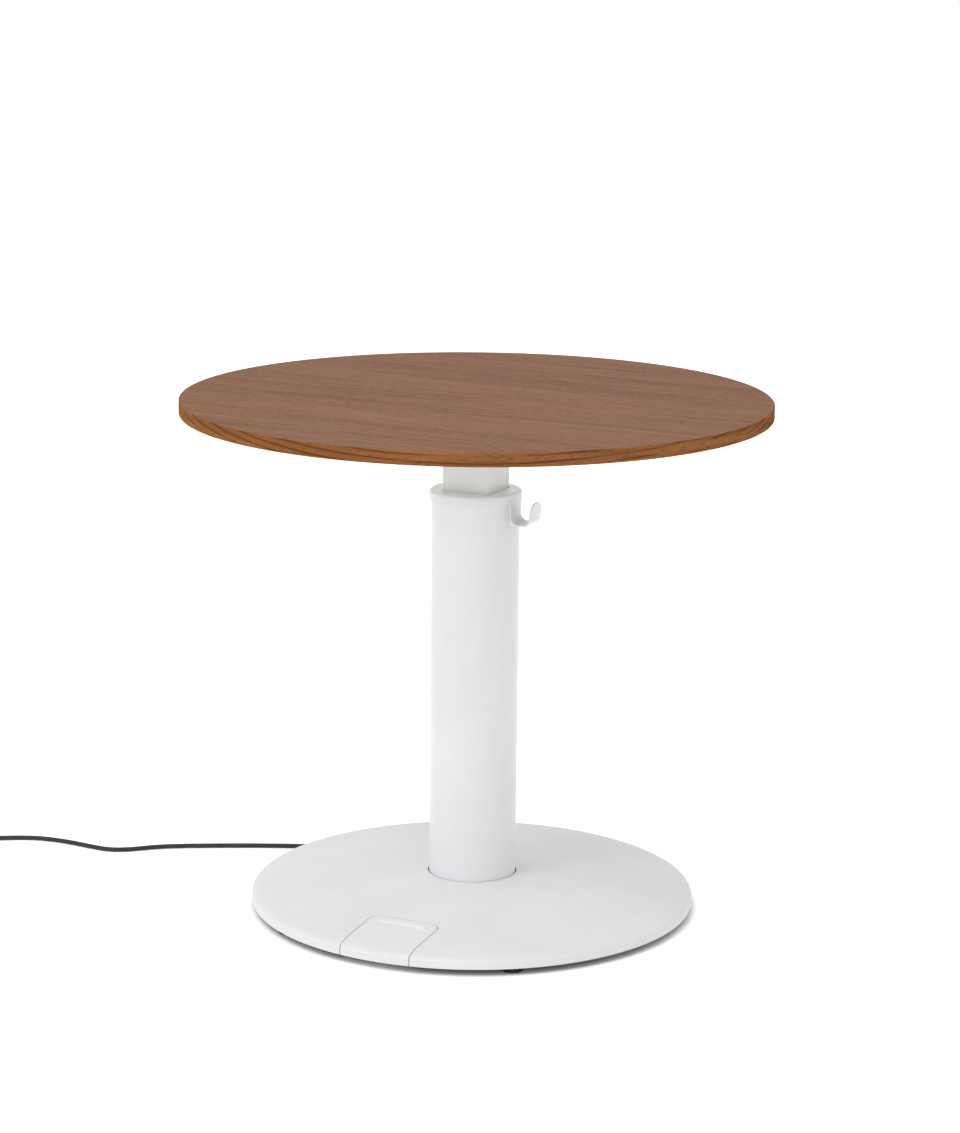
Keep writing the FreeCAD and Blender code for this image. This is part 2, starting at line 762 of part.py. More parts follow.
def post_foot():
    holes = [disc(POST_BOLT_R + BOLT_FIT, plate_top, foot_top, p.x, p.y) for p in post_bolt_places()]
    plate = ring(POST_FOOT_R, post_bore_r, plate_top, foot_top).cut(holes)
    socket = block(MOTOR_LEAD_COIL_R - SOCKET_SIDE / 2, MOTOR_LEAD_COIL_R + SOCKET_SIDE / 2, -SOCKET_SIDE / 2,
                   SOCKET_SIDE / 2, foot_top, foot_top + SOCKET_HEIGHT)
    return joined([plate, turned(socket, CORD_ANGLE)])


def post_bolts():
    return group([screw(p.x, p.y, plate_low, foot_top, POST_BOLT_R, HUB_BOLT_HEAD_R, HUB_BOLT_HEAD)
                  for p in post_bolt_places()])


def spindle_nut():
    head = disc(NUT_R, post_top, nut_top)
    spigot = disc(post_bore_r - BOLT_FIT, post_top - NUT_SPIGOT, post_top)
    return joined([head, spigot]).cut(disc(SPINDLE_R + SPINDLE_BORE_FIT, post_top - NUT_SPIGOT, nut_top))


def down_stop():
    pad = ring(STOP_OUTER_R, STOP_INNER_R, foot_top, stop_top)
    half_way = HARNESS_R + HARNESS_CLEAR + HARNESS_BOW
    way = turned(block(0.0, 2 * STOP_OUTER_R, -half_way, half_way, foot_top, stop_top), CORD_ANGLE)
    holes = [disc(POST_BOLT_R + BOLT_FIT, foot_top, stop_top, p.x, p.y) for p in post_bolt_places()]
    return pad.cut([way] + holes)


# Base cover: a cone that bends over a soft shoulder into an upright rim
def cover_hole_r():
    return column_r + COVER_COLUMN_GAP


def rim_centre():
    return V(base_r - RIM_ROUND, 0, FLOOR_GAP + RIM_UPRIGHT)


def shoulder_centre():
    lean = math.radians(SHOULDER_TURN)
    return rim_centre() - V(math.cos(lean), 0, math.sin(lean)) * (SHOULDER_ROUND - RIM_ROUND)


def cover_slope():
    across = cover_hole_r() - shoulder_centre().x
    rise = BASE_CENTRE_HEIGHT - shoulder_centre().z
    return math.atan2(across, rise) + math.acos(SHOULDER_ROUND / math.hypot(across, rise))


def skin_height(radius):
    return BASE_CENTRE_HEIGHT - (radius - cover_hole_r()) * math.tan(cover_slope())


def skin_under(radius, wall):
    return skin_height(radius) - wall / math.cos(cover_slope())


def skin_bend(wall):
    top_angle = math.pi / 2 - cover_slope()
    lean = math.radians(SHOULDER_TURN)

    def on_round(centre, radius, angle):
        return centre + V(math.cos(angle), 0, math.sin(angle)) * (radius - wall)

    return [on_round(shoulder_centre(), SHOULDER_ROUND, top_angle),
            on_round(shoulder_centre(), SHOULDER_ROUND, (top_angle + lean) / 2),
            on_round(shoulder_centre(), SHOULDER_ROUND, lean),
            on_round(rim_centre(), RIM_ROUND, lean / 2),
            on_round(rim_centre(), RIM_ROUND, 0.0)]


def skin(wall):
    hole_r = cover_hole_r()
    hole_top = V(hole_r, 0, BASE_CENTRE_HEIGHT)
    hole_low = V(hole_r, 0, skin_under(hole_r, wall))
    rim_outer = V(base_r, 0, FLOOR_GAP)
    rim_inner = V(base_r - wall, 0, FLOOR_GAP)
    outer = skin_bend(0.0)
    inner = skin_bend(wall)
    return turned_face([line(hole_top, outer[0]),
                        arc(outer[0], outer[1], outer[2]),
                        arc(outer[2], outer[3], outer[4]),
                        line(outer[4], rim_outer),
                        line(rim_outer, rim_inner),
                        line(rim_inner, inner[4]),
                        arc(inner[4], inner[3], inner[2]),
                        arc(inner[2], inner[1], inner[0]),
                        line(inner[0], hole_low),
                        line(hole_low, hole_top)])


def pedal_outline(grow):
    half = PEDAL_WIDTH / 2 + grow
    back = grow - pedal_back
    shape = block(-half, half, -2 * base_r, back, 0.0, 2 * BASE_CENTRE_HEIGHT)
    corners = [e for e in shape.Edges if abs(e.Length - 2 * BASE_CENTRE_HEIGHT) < 0.001
               and abs(e.CenterOfMass.y - back) < 0.001]
    return shape.makeFillet(PEDAL_CORNER + grow, corners)


def boss_places():
    return [polar(COVER_BOSS_CIRCLE_R, angle) for angle in boss_angles]


def base_cover():
    shell = skin(COVER_WALL).cut(pedal_outline(PEDAL_GAP))
    boss_top = skin_under(COVER_BOSS_CIRCLE_R, COVER_WALL / 2)
    bosses = [disc(COVER_BOSS_R, plate_top, boss_top, p.x, p.y) for p in boss_places()]
    bores = [disc(COVER_SCREW_R + BOLT_FIT, plate_top, plate_top + COVER_SCREW_BITE + BOLT_FIT, p.x, p.y)
             for p in boss_places()]
    return joined([shell] + bosses).cut(bores)


def cover_screws():
    tip = plate_top + COVER_SCREW_BITE
    return group([screw(p.x, p.y, plate_low, tip, COVER_SCREW_R, PAN_HEAD_R, PAN_HEAD)
                  for p in boss_places()])


# Ballast plate and levelling feet
def base_plate():
    plate = disc(plate_r, plate_low, plate_top)
    holes = [disc(FOOT_STEM_R + THREAD_FIT, plate_low, plate_top, p.x, p.y) for p in foot_places()]
    holes += [disc(FLANGE_BOLT_R + BOLT_FIT, plate_low, plate_top, p.x, p.y) for p in flange_bolt_places()]
    holes += [disc(POST_BOLT_R + BOLT_FIT, plate_low, plate_top, p.x, p.y) for p in post_bolt_places()]
    holes += [disc(COVER_SCREW_R + BOLT_FIT, plate_low, plate_top, p.x, p.y) for p in boss_places()]
    holes += [disc(TRAY_SCREW_R + BOLT_FIT, plate_low, plate_top, p.x, p.y) for p in tray_screw_places()]
    holes += [disc(BRACKET_SCREW_R + BOLT_FIT, plate_low, plate_top, p.x, p.y) for p in bracket_screw_places()]
    half_width = BOX_WIDTH / 2 + BOX_FIT
    window = block(BOX_NEAR - BOX_FIT, box_far + BOX_FIT, -half_width, half_width, plate_low, plate_top)
    notch = block(box_far, 2 * plate_r, -CORD_NOTCH / 2, CORD_NOTCH / 2, plate_low, plate_top)
    half_room = PEDAL_WIDTH / 2 + PEDAL_GAP
    room = block(-half_room, half_room, -2 * plate_r, PEDAL_ROOM - base_r, plate_low, plate_top)
    return plate.cut(holes + [turned(window, CORD_ANGLE), turned(notch, CORD_ANGLE), room])


def foot_places():
    return [polar(foot_circle_r, angle) for angle in foot_angles]


def leveller_nuts():
    return group([hexagon(FOOT_NUT_ACROSS, plate_top, plate_top + FOOT_NUT, p.x, p.y)
                  .cut(disc(FOOT_STEM_R + THREAD_FIT, plate_top, plate_top + FOOT_NUT, p.x, p.y))
                  for p in foot_places()])


def leveller(place):
    pad = disc(FOOT_PAD_R, 0.0, FOOT_PAD_HEIGHT, place.x, place.y)
    rims = [e for e in pad.Edges if e.Closed]
    pad = pad.makeFillet(FOOT_PAD_ROUND, rims)
    neck = disc(FOOT_NECK_R, FOOT_PAD_HEIGHT, plate_low, place.x, place.y)
    stem = disc(FOOT_STEM_R, plate_low, plate_top + FOOT_NUT + FOOT_STEM_SPARE, place.x, place.y)
    return joined([pad, neck, stem])


# Pedal and what carries it
def tread_outline(grow):
    return rounded_block(TREAD_LENGTH + 2 * grow, TREAD_WIDTH + 2 * grow, TREAD_CORNER + grow, 0.0,
                         2 * BASE_CENTRE_HEIGHT, 0.0, TREAD_FROM_RIM - base_r)


def skin_layer(low, high):
    near = pedal_back
    far = base_r - RIM_ROUND
    corners = [V(r, 0, skin_height(r) + dz) for r, dz in ((near, low), (far, low), (far, high), (near, high))]
    return turned_face([line(a, b) for a, b in zip(corners, corners[1:] + corners[:1])])


def tread_bar():
    return skin_layer(-TREAD_SINK, TREAD_RISE).common(tread_outline(0.0))


def pedal():
    shell = skin(PEDAL_WALL).common(pedal_outline(0.0))
    reach_y = pin_y - LUG_REACH
    arm_top = skin_under(-reach_y, PEDAL_WALL / 2)
    parts = [shell]
    for side in (-1, 1):
        x0 = min(side * LUG_INNER_X, side * (LUG_INNER_X + LUG_WIDTH))
        x1 = x0 + LUG_WIDTH
        parts.append(rod(LUG_R, V(x0, pin_y, pin_z), V(x1, pin_y, pin_z)))
        parts.append(block(x0, x1, reach_y, pin_y, pin_z - LUG_R / 2, pin_z + LUG_R / 2))
        parts.append(block(x0, x1, reach_y, reach_y + LUG_REACH / 2, pin_z - LUG_R / 2, arm_top))
    spigot_top = skin_under(math.hypot(SPRING_X, spring_y), PEDAL_WALL / 2)
    for x in (-SPRING_X, SPRING_X):
        parts.append(disc(SPIGOT_R, spigot_top - PEDAL_WALL / 2 - SPIGOT_LENGTH, spigot_top, x, spring_y))
    boss_top = skin_under(-switch_y, PEDAL_WALL / 2)
    parts.append(disc(PLUNGER_BOSS_R, plunger_top + PLUNGER_GAP, boss_top, 0.0, switch_y))
    lug_end = LUG_INNER_X + LUG_WIDTH
    bore = rod(PIN_R + PIN_FIT, V(-lug_end, pin_y, pin_z), V(lug_end, pin_y, pin_z))
    groove = skin_layer(-TREAD_SINK - TREAD_FIT, PEDAL_WALL).common(tread_outline(TREAD_FIT))
    return joined(parts).cut([bore, groove])


def ear_x():
    return LUG_INNER_X + LUG_WIDTH + EAR_GAP


def pedal_bracket():
    half = ear_x() + EAR
    parts = [block(-half, half, pin_y - LUG_R, pin_y + BRACKET_BACK, plate_top, plate_top + BRACKET_FLOOR)]
    for x0 in (-half, ear_x()):
        parts.append(block(x0, x0 + EAR, pin_y - LUG_R, pin_y + LUG_R, plate_top + BRACKET_FLOOR, pin_z))
        parts.append(rod(LUG_R, V(x0, pin_y, pin_z), V(x0 + EAR, pin_y, pin_z)))
    bore = rod(PIN_R + PIN_FIT, V(-half, pin_y, pin_z), V(half, pin_y, pin_z))
    holes = [disc(BRACKET_SCREW_R + BOLT_FIT, plate_top, plate_top + BRACKET_FLOOR, p.x, p.y)
             for p in bracket_screw_places()]
    return joined(parts).cut([bore] + holes)


def bracket_screw_places():
    y = pin_y + BRACKET_BACK - BRACKET_SCREW_INSET
    return [V(x, y, 0) for x in (-BRACKET_SCREW_APART / 2, BRACKET_SCREW_APART / 2)]


def bracket_screws():
    seat = plate_top + BRACKET_FLOOR
    return group([screw(p.x, p.y, seat, plate_low, BRACKET_SCREW_R, PAN_HEAD_R, PAN_HEAD)
                  for p in bracket_screw_places()])


def pedal_pin():
    end = ear_x() + EAR + PIN_END
    return rod(PIN_R, V(-end, pin_y, pin_z), V(end, pin_y, pin_z))


def spring_wire(x):
    low = plate_top + SPRING_WIRE / 2
    high = skin_under(math.hypot(SPRING_X, spring_y), PEDAL_WALL) - SPRING_GAP - SPRING_WIRE / 2
    return helix_stations(V(x, spring_y, low), SPRING_R, high - low, SPRING_TURNS, 0.0)


def helix_stations(foot, radius, height, turns, start_angle):
    stations = []
    for i in range(4 * turns + 1):
        angle = math.radians(start_angle + 90 * i)
        point = foot + V(radius * math.cos(angle), radius * math.sin(angle), height * i / (4 * turns))
        ahead = V(-radius * math.sin(angle), radius * math.cos(angle), height / (2 * math.pi * turns))
        stations.append((point, ahead.normalize()))
    return stations


def pedal_springs():
    return group([wound_tube("pedal spring", wound_wire(spring_wire(x)), SPRING_WIRE / 2)
                  for x in (-SPRING_X, SPRING_X)])


def switch_body():
    half = SWITCH_SIDE / 2
    top = plate_top + SWITCH_HEIGHT
    body = block(-half, half, switch_y - half, switch_y + half, plate_top, top)
    return body.cut(disc(PLUNGER_R + PLUNGER_FIT, plate_top + SWITCH_FLOOR, top, 0.0, switch_y))


def switch_plunger():
    return disc(PLUNGER_R, plate_top + PLUNGER_LOW, plunger_top, 0.0, switch_y)


# Control box, laid out along X and then turned to the lead's direction
def box_low():
    return plate_low + BOX_LIFT


def lid_top():
    return skin_under(math.hypot(box_far, BOX_WIDTH / 2), COVER_WALL) - BOX_HEADROOM


def board_low():
    return box_low() + BOX_WALL + STANDOFF


def tray_screw_places():
    y = BOX_WIDTH / 2 + TRAY_EAR / 2
    inset = TRAY_EAR_INSET + TRAY_EAR / 2
    flat = [V(x, side * y, 0) for x in (BOX_NEAR + inset, box_far - inset) for side in (-1, 1)]
    turn = FreeCAD.Rotation(UP, CORD_ANGLE)
    return [turn.multVec(p) for p in flat]


def standoff_places():
    inset = BOX_WALL + BOARD_MARGIN + STANDOFF_R
    half = BOX_WIDTH / 2 - inset
    return [(x, y) for x in (BOX_NEAR + inset, box_far - inset) for y in (-half, half)]


def control_tray():
    half = BOX_WIDTH / 2
    inside = half - BOX_WALL
    rim = lid_top() - LID
    shell = block(BOX_NEAR, box_far, -half, half, box_low(), rim)
    room = block(BOX_NEAR + BOX_WALL, box_far - BOX_WALL, -inside, inside, box_low() + BOX_WALL, rim)
    parts = [shell.cut(room)]
    for y0 in (-half - TRAY_EAR, half):
        parts.append(block(BOX_NEAR + TRAY_EAR_INSET, box_far - TRAY_EAR_INSET, y0, y0 + TRAY_EAR, plate_top,
                           plate_top + TRAY_EAR_SHEET))
    parts += [disc(STANDOFF_R, box_low() + BOX_WALL, board_low(), x, y) for x, y in standoff_places()]
    holes = [disc(TRAY_SCREW_R + BOLT_FIT, plate_top, plate_top + TRAY_EAR_SHEET, p.x, p.y)
             for p in tray_screw_places()]
    return turned(joined(parts), CORD_ANGLE).cut(holes)


def control_lid():
    half = BOX_WIDTH / 2
    return turned(block(BOX_NEAR, box_far, -half, half, lid_top() - LID, lid_top()), CORD_ANGLE)


def circuit_board():
    inset = BOX_WALL + BOARD_MARGIN
    half = BOX_WIDTH / 2 - inset
    top = board_low() + BOARD
    board = block(BOX_NEAR + inset, box_far - inset, -half, half, board_low(), top)
    middle = (BOX_NEAR + box_far) / 2
    coil_half = BOARD_COIL_SIDE / 2
    coil = block(middle - coil_half, middle + coil_half, -coil_half, coil_half, top, top + BOARD_COIL_HEIGHT)
    cans = [disc(BOARD_CAN_R, top, top + BOARD_CAN_HEIGHT, middle, side * (half - 3 * BOARD_CAN_R))
            for side in (-1, 1)]
    return turned(joined([board, coil] + cans), CORD_ANGLE)


def tray_screws():
    return group([screw(p.x, p.y, plate_top + TRAY_EAR_SHEET, plate_low, TRAY_SCREW_R, PAN_HEAD_R, PAN_HEAD)
                  for p in tray_screw_places()])


# Leads inside the base and column
def harness_points():
    z = flange_top + HARNESS_R + WIRE_CLEAR
    socket_face = MOTOR_LEAD_COIL_R + SOCKET_SIDE / 2
    turn = FreeCAD.Rotation(UP, CORD_ANGLE)
    along = [(BOX_NEAR, 0.0), (BOX_NEAR - HARNESS_END, 0.0), ((BOX_NEAR + socket_face) / 2, HARNESS_BOW),
             (socket_face + HARNESS_END, 0.0), (socket_face, 0.0)]
    return [turn.multVec(V(x, y, z)) for x, y in along]


def motor_harness():
    return routed_lead("motor harness", harness_points(), HARNESS_R)


def motor_lead():
    low = foot_top + SOCKET_HEIGHT
    foot = V(0, 0, low + MOTOR_LEAD_RISE)
    height = mount_low - low - 2 * MOTOR_LEAD_RISE
    turns = helix_stations(foot, MOTOR_LEAD_COIL_R, height, MOTOR_LEAD_TURNS, CORD_ANGLE + 90)
    straight = UP * 2 * MOTOR_LEAD_R
    start = polar(MOTOR_LEAD_COIL_R, CORD_ANGLE, low)
    end = polar(MOTOR_LEAD_COIL_R, CORD_ANGLE + 180, mount_low)
    stations = [(start + straight, UP)] + turns + [(end - straight, UP)]
    return wound_tube("motor lead", wound_wire(stations, start, end), MOTOR_LEAD_R)


def pedal_wire():
    flat_z = plate_top + WIRE_R + WIRE_CLEAR
    over_z = flat_z + TRAY_EAR_SHEET
    turn = FreeCAD.Rotation(UP, CORD_ANGLE)
    wall = turn.multVec(V((BOX_NEAR + box_far) / 2, BOX_WIDTH / 2, over_z))
    away = turn.multVec(V(0, 1, 0))
    points = [V(-SWITCH_SIDE / 2, switch_y, flat_z), V(-42, switch_y, flat_z), V(-84, -228, flat_z),
              V(-121, -198, flat_z), V(-148, -158, flat_z), V(-166, -114, flat_z), V(-173, -72, flat_z),
              wall + away * WIRE_END_RUN, wall]
    return routed_lead("pedal wire", points, WIRE_R)


# Mains lead, from the base across the floor to the coil of spare lead
def strain_relief():
    wall = V(box_far, 0, CORD_EXIT_HEIGHT)
    root = wall + V(BOOT_FLANGE, 0, 0)
    flange = rod(BOOT_FLANGE_R, wall, root)
    cone = Part.makeCone(BOOT_ROOT_R, BOOT_TIP_R, BOOT_LENGTH - BOOT_FLANGE, root, root - wall)
    return turned(joined([flange, cone]), CORD_ANGLE)


def coil_low():
    return TIE_SHEET + TIE_FIT + CORD_R


def mains_route():
    boot_tip = box_far + BOOT_LENGTH
    floor = CORD_R
    return [polar(boot_tip, CORD_ANGLE, CORD_EXIT_HEIGHT),
            polar(boot_tip + CORD_FIRST_RUN, CORD_ANGLE, CORD_EXIT_HEIGHT),
            V(-224.5, 104.2, 14.6), V(-247, 112.6, 10.2), V(-270.5, 118, 5.7), V(-296, 116.5, 3.8),
            V(-322, 107.5, floor), V(-353, 94.5, floor), V(-392, 76, floor), V(-437, 52.8, floor),
            V(-478, 30.7, floor), V(-513, 8.2, floor), V(-540, -19.7, floor), V(-566, -35.5, floor),
            V(-600, -34.2, floor), V(-640, -29.8, floor), V(-680, -31.5, floor), V(-714, -43.5, floor),
            V(-747, -66.5, 3.8), V(-777, -84, coil_low()), V(-806, -104, coil_low())]


def mains_lead():
    return routed_lead("mains lead", mains_route(), CORD_R)


def coil_frame():
    before, start = mains_route()[-2:]
    ahead = V(start.x - before.x, start.y - before.y, 0).normalize()
    inward = V(ahead.y, -ahead.x, 0)
    return start, ahead, inward, start + inward * COIL_OUTER_R


def coil_station(quarter):
    _, _, inward, centre = coil_frame()
    middle = COIL_QUARTERS / 2
    angle = math.atan2(-inward.y, -inward.x) - math.pi / 2 * quarter
    turn = abs(quarter - middle) - middle
    radius = COIL_OUTER_R + COIL_PITCH / 4 * turn
    climb = min(max((quarter - middle + 1) / 2, 0.0), 1.0)
    at_end = quarter in (0, middle, COIL_QUARTERS)
    swell = 0.0 if at_end else COIL_PITCH / 4 * (1 if quarter > middle else -1)
    steep = 1.5 * COIL_LAYER / 2 if quarter == middle else 0.0
    out = V(math.cos(angle), math.sin(angle), 0)
    round_way = V(math.sin(angle), -math.cos(angle), 0)
    point = V(centre.x, centre.y, coil_low() + COIL_LAYER * climb) + out * radius
    onward = out * swell + round_way * (radius * math.pi / 2) + UP * steep
    return point, onward.normalize()


def tail_end():
    start, ahead, _, _ = coil_frame()
    return start + UP * COIL_LAYER + ahead * TAIL, ahead


def lead_coil():
    stations = [coil_station(quarter) for quarter in range(COIL_QUARTERS + 1)]
    return wound_tube("lead coil", wound_wire(stations, None, tail_end()[0]), CORD_R)


def lead_tie():
    _, _, inward, centre = coil_frame()
    spare = CORD_R + TIE_FIT
    inner_low = COIL_OUTER_R - COIL_PITCH / 4 * COIL_QUARTERS / 2 - spare
    inner_high = COIL_OUTER_R - COIL_PITCH / 2 + spare
    top = coil_low() + COIL_LAYER + spare
    bottom = coil_low() - spare
    half = TIE_WIDTH / 2
    outside = block(inner_low - TIE_SHEET, inner_high + TIE_SHEET, -half, half,
                    bottom - TIE_SHEET, top + TIE_SHEET)
    across = [e for e in outside.Edges if abs(e.Vertexes[0].Y - e.Vertexes[1].Y) > half]
    outside = outside.makeFillet(TIE_ROUND, across)
    strap = outside.cut(block(inner_low, inner_high, -half, half, bottom, top))
    strap = turned(strap, math.degrees(math.atan2(inward.y, inward.x)))
    strap.translate(V(centre.x, centre.y, 0))
    return strap


def placed_plug(shape):
    end, ahead = tail_end()
    copy = turned(shape, math.degrees(math.atan2(ahead.y, ahead.x)))
    copy.translate(end)
    return copy


def plug_body():
    half_height = coil_low() + COIL_LAYER
    half_width = PLUG_WIDTH / 2
    boot = Part.makeCone(BOOT_TIP_R, PLUG_BOOT_R, PLUG_BOOT, V(0, 0, 0), V(1, 0, 0))
    body = block(PLUG_BOOT, PLUG_BOOT + PLUG_LENGTH, -half_width, half_width, -half_height, half_height)
    lengthwise = [e for e in body.Edges if abs(e.Vertexes[0].X - e.Vertexes[1].X) > PLUG_ROUND]
    back = [e for e in body.Edges if abs(e.CenterOfMass.x - PLUG_BOOT) < 0.001]
    return placed_plug(joined([boot, body.makeFillet(PLUG_ROUND, lengthwise + back)]))


def plug_pins():
    face = PLUG_BOOT + PLUG_LENGTH
    y = BLADE_OFFSET - BLADE_WIDTH / 2
    pins = []
    for z in (-BLADE_APART / 2, BLADE_APART / 2):
        pins.append(block(face, face + BLADE_LENGTH, y, y + BLADE_WIDTH, z - BLADE / 2, z + BLADE / 2))
    earth_y = BLADE_OFFSET - EARTH_OFFSET
    pins.append(rod(EARTH_R, V(face, earth_y, 0), V(face + EARTH_LENGTH, earth_y, 0)))
    return placed_plug(group(pins))


makers = [worktop_core, worktop_veneer, worktop_backing, worktop_edge_band, head_plate, tube_hub, hub_bolts,
          worktop_screws, lift_tube, tube_runner, runner_screws, drive_mount, gearbox, motor, spindle_bearing,
          spindle, drive_coupling, spindle_end_bush, column_tube, column_flange, flange_bolts, upper_guide,
          collar, bag_hook, hook_screws, nut_post, post_foot, post_bolts, spindle_nut, down_stop, motor_lead,
          motor_harness, base_cover, cover_screws, base_plate, leveller_nuts, pedal, tread_bar, pedal_bracket,
          bracket_screws, pedal_pin, pedal_springs, switch_body, switch_plunger, pedal_wire, control_tray,
          control_lid, circuit_board, tray_screws, strain_relief, mains_lead, lead_coil, lead_tie, plug_body,
          plug_pins]
nodes = {maker.__name__: maker() for maker in makers}
for number, place in enumerate(foot_places(), 1):
    nodes["leveller_%d" % number] = leveller(place)

os.makedirs("parts", exist_ok=True)
for name, shape in nodes.items():
    if not shape.isValid():
        raise ValueError("%s is not a valid shape" % name)
    shape.exportStep("parts/%s.step" % name)
print("%d nodes, %d solids" % (len(nodes), sum(len(shape.Solids) for shape in nodes.values())))
print("pedal pin at y %.2f z %.2f, plunger %.2f in front of it" % (pin_y, pin_z, pin_y - switch_y))
print("hook floor at x %.2f z %.2f, lid top %.2f" % (hook_bend_x, hook_floor, lid_top()))
print("lift travel %.1f mm down and %.1f mm up, column top %.1f" % (LIFT_DOWN, lift_up, column_top))
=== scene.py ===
import bmesh
import bpy
import json
import math
from mathutils import Matrix, Vector


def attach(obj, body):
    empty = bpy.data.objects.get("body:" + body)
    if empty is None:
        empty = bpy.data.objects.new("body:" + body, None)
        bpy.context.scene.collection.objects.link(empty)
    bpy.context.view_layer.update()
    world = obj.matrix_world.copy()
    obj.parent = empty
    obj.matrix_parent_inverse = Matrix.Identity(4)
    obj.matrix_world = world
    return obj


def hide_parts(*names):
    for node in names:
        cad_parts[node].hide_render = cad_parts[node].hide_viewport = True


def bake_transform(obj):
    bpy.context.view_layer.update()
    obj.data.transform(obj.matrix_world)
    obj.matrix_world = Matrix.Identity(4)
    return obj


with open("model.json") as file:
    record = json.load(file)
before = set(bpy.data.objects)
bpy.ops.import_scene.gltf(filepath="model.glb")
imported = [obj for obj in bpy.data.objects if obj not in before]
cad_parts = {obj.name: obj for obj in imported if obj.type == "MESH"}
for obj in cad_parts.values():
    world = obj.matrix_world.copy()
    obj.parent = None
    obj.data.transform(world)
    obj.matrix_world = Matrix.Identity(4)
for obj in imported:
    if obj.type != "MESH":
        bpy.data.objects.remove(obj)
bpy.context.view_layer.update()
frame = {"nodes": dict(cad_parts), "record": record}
nodes = frame["nodes"]
scene = bpy.context.scene
scene.view_settings.view_transform = "Standard"
bpy.ops.object.select_all(action="DESELECT")
print("frame loaded:", len(nodes), "nodes")


# camera, where the photograph was taken from
view = {
    "round": 25.0,  # degrees from the front towards the hook's side
    "distance": 4.2479,
    "height": 1.4356,
    "turn": -0.0887,
    "pitch": 12.697,
    "roll": 0.597,
    "lens": 101.59,  # on a sensor 36 mm high
    "farthest": 60.0,
}


def addCamera():
    bpy.ops.object.camera_add()
    camera = bpy.context.object
    camera.name = "camera"
    camera.data.lens = view["lens"]
    camera.data.clip_end = view["farthest"]
    aside = Matrix.Rotation(math.radians(view["round"]), 4, "Z")
    turn = Matrix.Rotation(math.radians(view["turn"]), 4, "Z")
    pitch = Matrix.Rotation(math.radians(90 - view["pitch"]), 4, "X")
    roll = Matrix.Rotation(math.radians(view["roll"]), 4, "Z")
    place = aside @ Matrix.Translation((0, -view["distance"], view["height"]))
    camera.matrix_world = place @ turn @ pitch @ roll
    scene.camera = camera


addCamera()
print("camera set")


# helpers for shaping a piece in edit mode
pieces = {}  # name of each new piece and the finish it gets
hair = 0.0001  # less than any step in a shape, for comparing places
smoothAngle = math.radians(35)  # edges sharper than this stay sharp


def startEdit(name):
    piece = bpy.context.object
    piece.name = name
    bpy.ops.object.transform_apply(location=True, rotation=True, scale=True)
    bpy.ops.object.mode_set(mode="EDIT")
    return piece


def pickFaces(piece, test):  # test takes a face's middle and normal
    bpy.ops.mesh.select_mode(type="FACE")
    bpy.ops.mesh.select_all(action="DESELECT")
    for face in bmesh.from_edit_mesh(piece.data).faces:
        if test(face.calc_center_median(), face.normal):
            face.select_set(True)
    bmesh.update_edit_mesh(piece.data)


def pickEdges(piece, test):  # test takes an edge's two ends
    bpy.ops.mesh.select_mode(type="EDGE")
    bpy.ops.mesh.select_all(action="DESELECT")
    for edge in bmesh.from_edit_mesh(piece.data).edges:
        if test(edge.verts[0].co, edge.verts[1].co):
            edge.select_set(True)
    bmesh.update_edit_mesh(piece.data)


def sliceAcross(place, normal):
    bpy.ops.mesh.select_all(action="SELECT")
    bpy.ops.mesh.bisect(plane_co=place, plane_no=normal)


def putInPlace(piece, place, turn=0.0):
    bpy.ops.object.mode_set(mode="OBJECT")
    piece.location = place
    piece.rotation_euler = (0, 0, turn)
    bpy.ops.object.transform_apply(location=True, rotation=True, scale=True)
    bpy.ops.object.shade_smooth_by_angle(angle=smoothAngle)


def tubeAlong(name, points, radius, steps, rounding):
    curve = bpy.data.curves.new(name, "CURVE")
    curve.dimensions = "3D"
    spline = curve.splines.new("NURBS")
    spline.points.add(len(points) - 1)
    for point, place in zip(spline.points, points):
        point.co = (*place, 1)
        point.radius = radius
    spline.order_u = 3
    spline.use_endpoint_u = True
    spline.resolution_u = steps
    curve.bevel_depth = 1.0  # times each point's radius
    curve.bevel_resolution = rounding
    curve.use_fill_caps = True
    tube = bpy.data.objects.new(name, curve)
    scene.collection.objects.link(tube)
    return tube


def handOver(piece, body, slot, *solids):
    pieces[piece.name] = slot
    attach(piece, body)
    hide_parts(*solids)
    piece.select_set(False)


# mains lead: out of the base, along the floor, then the spare length in a tied coil outside the view
mainsLead = {
    "diameter": 0.0065,
    "length": 1.83,
    "route": [
        (-0.18217, 0.08495, 0.017), (-0.20301, 0.09467, 0.017), (-0.2245, 0.1042, 0.0146),
        (-0.247, 0.1126, 0.0102), (-0.2705, 0.118, 0.0057), (-0.296, 0.1165, 0.0038),
        (-0.322, 0.1075, 0.00325), (-0.353, 0.0945, 0.00325), (-0.392, 0.076, 0.00325),
        (-0.437, 0.0528, 0.00325), (-0.478, 0.0307, 0.00325), (-0.513, 0.0082, 0.00325),
        (-0.54, -0.0197, 0.00325), (-0.566, -0.0355, 0.00325), (-0.6, -0.0342, 0.00325),
        (-0.64, -0.0298, 0.00325), (-0.68, -0.0315, 0.00325), (-0.714, -0.0435, 0.00325),
        (-0.747, -0.0665, 0.0038), (-0.777, -0.084, 0.00525), (-0.806, -0.104, 0.00525),
    ],
    "coilRadius": 0.044,
    "coilPitch": 0.0071,  # between neighbouring turns
    "coilLayer": 0.0071,  # between the two layers
    "coilTurns": 5,
    "stepsPerTurn": 16,
    "tail": 0.036,  # straight run into the plug
    "smoothing": (8, 4),  # steps from point to point, and round the section
}


def coilHeading():
    before, start = Vector(mainsLead["route"][-2]), Vector(mainsLead["route"][-1])
    return start, (start - before).normalized()


